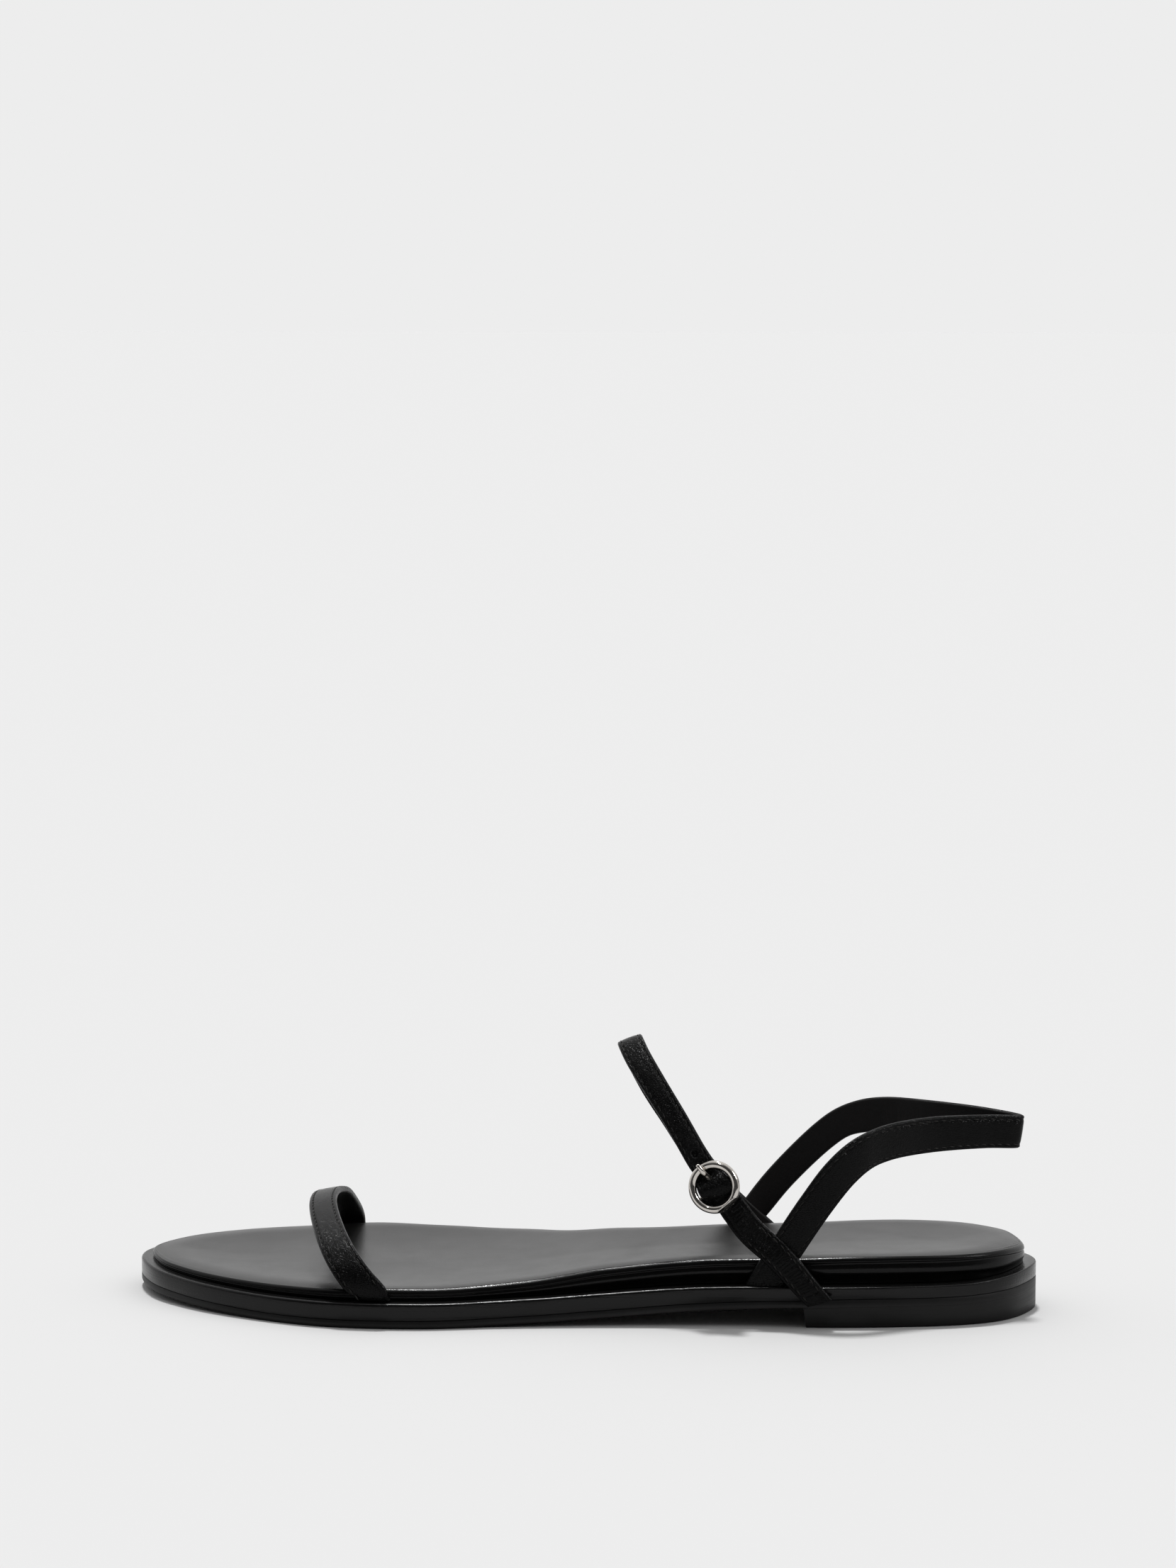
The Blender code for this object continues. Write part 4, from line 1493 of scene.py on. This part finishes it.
@dataclass
class Upper:
    """Toe strap and ankle straps."""

    origin: np.ndarray
    buckle: Buckle
    toe_thickness: float = 1.9 * MM
    toe_pitch: float = 0.2
    ankle_thickness: float = 1.7 * MM
    instep_pitch: float = 0.4
    heel_creases: Creases = Creases(start=118 * MM, stop=150 * MM, count=26, depth=0.12 * MM,
                                    side=StrapSide.LINING)
    buckle_creases: Creases = Creases(start=3 * MM, stop=38 * MM, count=46, depth=0.2 * MM,
                                      side=StrapSide.LEATHER, seed=5)
    buckle_spacing: float = 0.18 * MM
    buckle_margin: Range = (2.5 * MM, 14.0 * MM)
    instep_creases: Creases = Creases(start=2.5 * MM, stop=11.5 * MM, count=7, depth=0.25 * MM,
                                      side=StrapSide.LEATHER, seed=11)
    instep_holes: tuple[PunchHole, ...] = (PunchHole(11.2 * MM, radius=0.7 * MM),
                                           PunchHole(18.5 * MM))
    instep_skived: float = 3.0 * MM
    instep_margin: Range = (12.0 * MM, 3.0 * MM)
    #          along  across   up   width
    toe_rows: tuple[StrapRow, ...] = (
        StrapRow(-53.4, -44.3, 7.4, 8.6),
        StrapRow(-54.6, -45.2, 9.6, 9.0),
        StrapRow(-58.3, -45.0, 13.6, 9.1),
        StrapRow(-62.1, -42.5, 17.8, 9.0),
        StrapRow(-66.0, -36.5, 22.0, 8.7),
        StrapRow(-72.9, -14.0, 27.1, 8.0),
        StrapRow(-74.7, 2.0, 27.6, 8.0),
        StrapRow(-74.0, 15.0, 25.2, 8.0),
        StrapRow(-73.8, 27.0, 20.0, 8.0),
        StrapRow(-73.8, 36.4, 14.9, 8.0),
        StrapRow(-73.8, 39.7, 11.9, 8.0),
        StrapRow(-73.8, 40.6, 7.5, 8.0),
    )
    heel_rows: tuple[StrapRow, ...] = (
        StrapRow(53.2, -30.8, 10.7, 7.6),
        StrapRow(54.4, -30.8, 12.4, 9.0),
        StrapRow(57.4, -30.6, 17.6, 9.2),
        StrapRow(68.0, -29.5, 34.1, 9.6),
        StrapRow(74.7, -27.5, 42.8, 10.2),
        StrapRow(80.3, -24.5, 47.5, 10.5),
        StrapRow(86.8, -19.5, 49.9, 10.4),
        StrapRow(98.3, -11.7, 51.0, 10.2),
        StrapRow(114.0, -5.2, 51.1, 9.6),
        StrapRow(123.4, -1.0, 50.6, 9.5),
        StrapRow(114.0, 3.0, 51.6, 9.6),
        StrapRow(97.6, 9.2, 51.9, 10.2),
        StrapRow(85.2, 16.0, 51.4, 10.0),
        StrapRow(79.0, 18.2, 50.4, 9.6),
        StrapRow(72.9, 19.8, 48.2, 8.8),
        StrapRow(67.1, 21.0, 43.9, 8.5),
        StrapRow(54.8, 22.4, 31.3, 8.2),
        StrapRow(47.4, 22.0, 21.9, 8.2),
        StrapRow(40.4, 18.6, 12.6, 7.8),
    )
    instep_rows: tuple[StrapRow, ...] = (
        StrapRow(28.3, -21.4, 55.6, 6.8),
        StrapRow(21.7, -16.2, 64.5, 7.1),
        StrapRow(16.6, -10.4, 71.0, 7.4),
        StrapRow(13.8, -4.0, 74.4, 7.4),
        StrapRow(13.4, 2.0, 73.0, 7.4),
        StrapRow(15.7, 8.0, 65.8, 7.4),
        StrapRow(19.3, 12.5, 57.6, 7.4),
        StrapRow(24.6, 16.0, 48.0, 7.0),
        StrapRow(31.2, 19.0, 36.6, 7.0),
        StrapRow(35.8, 20.3, 29.4, 7.0),
        StrapRow(44.2, 20.4, 20.6, 7.6),
        StrapRow(48.9, 19.9, 16.2, 8.4),
        StrapRow(52.8, 20.2, 12.3, 8.6),
    )
    buckle_rows: tuple[StrapRow, ...] = (
        StrapRow(69.6, -33.6, 7.4, 6.6),
        StrapRow(66.4, -33.6, 10.8, 7.0),
        StrapRow(62.8, -33.0, 14.7, 7.4),
        StrapRow(57.6, -32.2, 20.2, 7.8),
    )
    #        reach  lift  width  aside
    buckle_pass: tuple[PassRow, ...] = (
        PassRow(15.0, -0.95, 7.9),
        PassRow(8.0, -0.95, 7.8),
        PassRow(5.5, -0.95, 7.8),
        PassRow(3.6, -0.95, 9.4, -0.4),
        PassRow(0.4, -0.95, 11.0, -0.5),
    )
    instep_pass: tuple[PassRow, ...] = (
        PassRow(6.6, 0.1, 7.4),
        PassRow(5.4, 0.7, 7.8),
        PassRow(3.7, 1.35, 8.6),
        PassRow(0.0, 2.95, 9.8),
        PassRow(-3.7, 1.35, 8.4, 0.3),
        PassRow(-5.8, 1.05, 7.2, 0.6),
        PassRow(-9.5, 1.05, 6.9, 0.8),
    )

    def route(self, rows: Sequence[StrapRow]) -> np.ndarray:
        """Points and widths of a strap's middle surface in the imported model."""
        table = np.column_stack([column(rows, name) for name in StrapRow._fields])
        return table + np.array([*self.origin, 0.0])
    def straps(self) -> list[Strap]:
        """Lays out the straps.

        Returns:
            The strap across the toes, the one around the heel, the short one from the sole to the
            buckle, and the long one from its tail through the buckle and over the instep.
        """
        to_buckle = [self.route(self.buckle_rows), self.buckle.placed(self.buckle_pass)]
        from_buckle = [self.buckle.placed(self.instep_pass), self.route(self.instep_rows)]
        over_toes, over_instep = over_foot(self.toe_pitch), over_foot(self.instep_pitch)
        return [
            Strap("toe_strap", self.route(self.toe_rows), self.toe_thickness, over_toes,
                  (EndCut.LEVEL, EndCut.LEVEL), "toe_strap"),
            Strap("heel_strap", self.route(self.heel_rows), self.ankle_thickness, around_heel,
                  (EndCut.LEVEL, EndCut.LEVEL), "ankle_straps", creases=[self.heel_creases]),
            Strap("buckle_strap", np.vstack(to_buckle), self.ankle_thickness, over_instep,
                  (EndCut.SKEWED, EndCut.SQUARE), "ankle_straps", creases=[self.buckle_creases],
                  spacing=self.buckle_spacing, stitch_margin=self.buckle_margin),
            Strap("instep_strap", np.vstack(from_buckle), self.ankle_thickness, over_instep,
                  (EndCut.SQUARE, EndCut.LEVEL), "ankle_straps", creases=[self.instep_creases],
                  holes=self.instep_holes, skived=self.instep_skived,
                  stitch_margin=self.instep_margin),
        ]

    def build(self) -> None:
        """Builds all straps with their stitches."""
        for strap in self.straps():
            strap.build()


# Studio


def hang(name: str, data: bpy.types.ID, turn: Sequence[float],
         place: Triple = (0.0, 0.0, 0.0)) -> bpy.types.Object:
    """Puts a camera or a lamp into the studio.

    Args:
        name: name of its object.
        data: the camera or lamp.
        turn: its turns about the three axes.
        place: where it stands.

    Returns:
        The object that holds it.
    """
    holder = bpy.data.objects.new(name, data)
    holder.location = place
    holder.rotation_euler = turn
    bpy.context.scene.collection.objects.link(holder)
    return holder


@dataclass(frozen=True)
class AreaLamp:
    """A soft box that lights the sandal alone, so that the floor stays even."""

    name: str
    place: Triple
    aim: Triple
    size: Range
    power: float
    groups: tuple[PieceGroup, ...] = tuple(PieceGroup)

    def build(self) -> None:
        """Hangs the lamp and points it at its aim."""
        lamp = bpy.data.lights.new(self.name, "AREA")
        lamp.shape = "RECTANGLE"
        lamp.size, lamp.size_y = self.size
        lamp.energy = self.power
        turn = (Vector(self.aim) - Vector(self.place)).to_track_quat("-Z", "Y").to_euler()
        holder = hang(self.name, lamp, turn, self.place)
        receivers = bpy.data.collections.new(self.name + "_receivers")
        for group in self.groups:
            receivers.children.link(group.collection())
        holder.light_linking.receiver_collection = receivers


@dataclass
class Studio:
    """Camera, floor and soft light."""

    camera_place: Triple = (0.13946, -1.20989, 0.2851)
    camera_turn: float = math.radians(6.5)
    camera_dip: float = math.radians(6.45)
    camera_reach: float = 200.0
    focal_px: float = 6137.0
    sensor: float = 36.0
    floor_size: float = 60.0
    floor_colour: float = 0.71
    floor_roughness: float = 0.9
    wall_glow: float = 0.847
    front_glow: float = 0.06
    front_span: Range = (-0.75, 0.2)
    sun_strength: float = 2.0
    sun_spread: float = math.radians(6)
    sun_rise: float = math.radians(74)
    sun_turn: float = math.radians(15)
    lamps: tuple[AreaLamp, ...] = (
        AreaLamp("top_strip", place=(0.02, -0.03, 1.0), aim=(0.0, -0.03, 0.01), size=(0.26, 0.1),
                 power=4.0, groups=(PieceGroup.SOLE,)),
        AreaLamp("glint", place=(-0.1, -0.45, 0.9), aim=(0.04, -0.02, 0.04), size=(0.05, 0.05),
                 power=1.8, groups=(PieceGroup.UPPER,)),
        AreaLamp("side_light", place=(0.9, -0.35, 0.75), aim=(0.05, -0.02, 0.04), size=(0.3, 0.5),
                 power=2.5),
        AreaLamp("edge_glint", place=(0.85, -0.35, 0.75), aim=(0.06, -0.02, 0.05),
                 size=(0.06, 0.06), power=4.5, groups=(PieceGroup.UPPER,)),
    )

    def build_camera(self) -> None:
        """Sets the camera at the photograph's angle."""
        camera = bpy.data.cameras.new("camera")
        camera.sensor_width = self.sensor
        camera.lens = self.sensor * self.focal_px / PHOTO_HEIGHT_PX
        camera.clip_end = self.camera_reach
        turn = (QUARTER_TURN - self.camera_dip, 0.0, self.camera_turn)
        bpy.context.scene.camera = hang("camera", camera, turn, self.camera_place)

    def build_floor(self) -> None:
        """Lays a plain pale floor."""
        bm = bmesh.new()
        bmesh.ops.create_grid(bm, x_segments=1, y_segments=1, size=0.5 * self.floor_size)
        floor = make_object("floor", bm, bpy.context.scene.collection)
        sheet = NodeSheet("pale_floor")
        sheet.put(Base_Color=(*grey(self.floor_colour), 1.0), Roughness=self.floor_roughness,
                  Specular_IOR_Level=0.0)
        floor.data.materials.append(sheet.material)

    def build_world(self) -> None:
        """Pale surroundings that are darker on the camera's side."""
        world = bpy.data.worlds.new("studio")
        world.use_nodes = True
        tree = world.node_tree
        place = tree.nodes.new("ShaderNodeTexCoord")
        split = tree.nodes.new("ShaderNodeSeparateXYZ")
        fade = tree.nodes.new("ShaderNodeMapRange")
        fade.interpolation_type = Blend.EASED.value
        limits = (*self.front_span, self.front_glow, self.wall_glow)
        for name, value in zip(("From Min", "From Max", "To Min", "To Max"), limits):
            fade.inputs[name].default_value = value
        tree.links.new(place.outputs["Generated"], split.inputs["Vector"])
        tree.links.new(split.outputs["Y"], fade.inputs["Value"])
        tree.links.new(fade.outputs["Result"], tree.nodes["Background"].inputs["Color"])
        bpy.context.scene.world = world

    def build_sun(self) -> None:
        """A small hard light from above and behind."""
        sun = bpy.data.lights.new("back_light", "SUN")
        sun.energy = self.sun_strength
        sun.angle = self.sun_spread
        hang("back_light", sun, (self.sun_rise - QUARTER_TURN, 0.0, self.sun_turn))

    def build(self) -> None:
        """Builds the whole studio."""
        bpy.context.scene.view_settings.view_transform = "Standard"
        self.build_camera()
        self.build_floor()
        self.build_world()
        self.build_sun()
        for lamp in self.lamps:
            lamp.build()


def main() -> None:
    """Builds the studio and the sandal."""
    logging.basicConfig(level=logging.INFO, format="%(message)s")
    Studio().build()
    sole = Sole()
    sole.build()
    origin = sole.last.origin()
    buckle = Buckle(origin)
    buckle.build()
    Upper(origin, buckle).build()


if __name__ == "__main__":
    main()
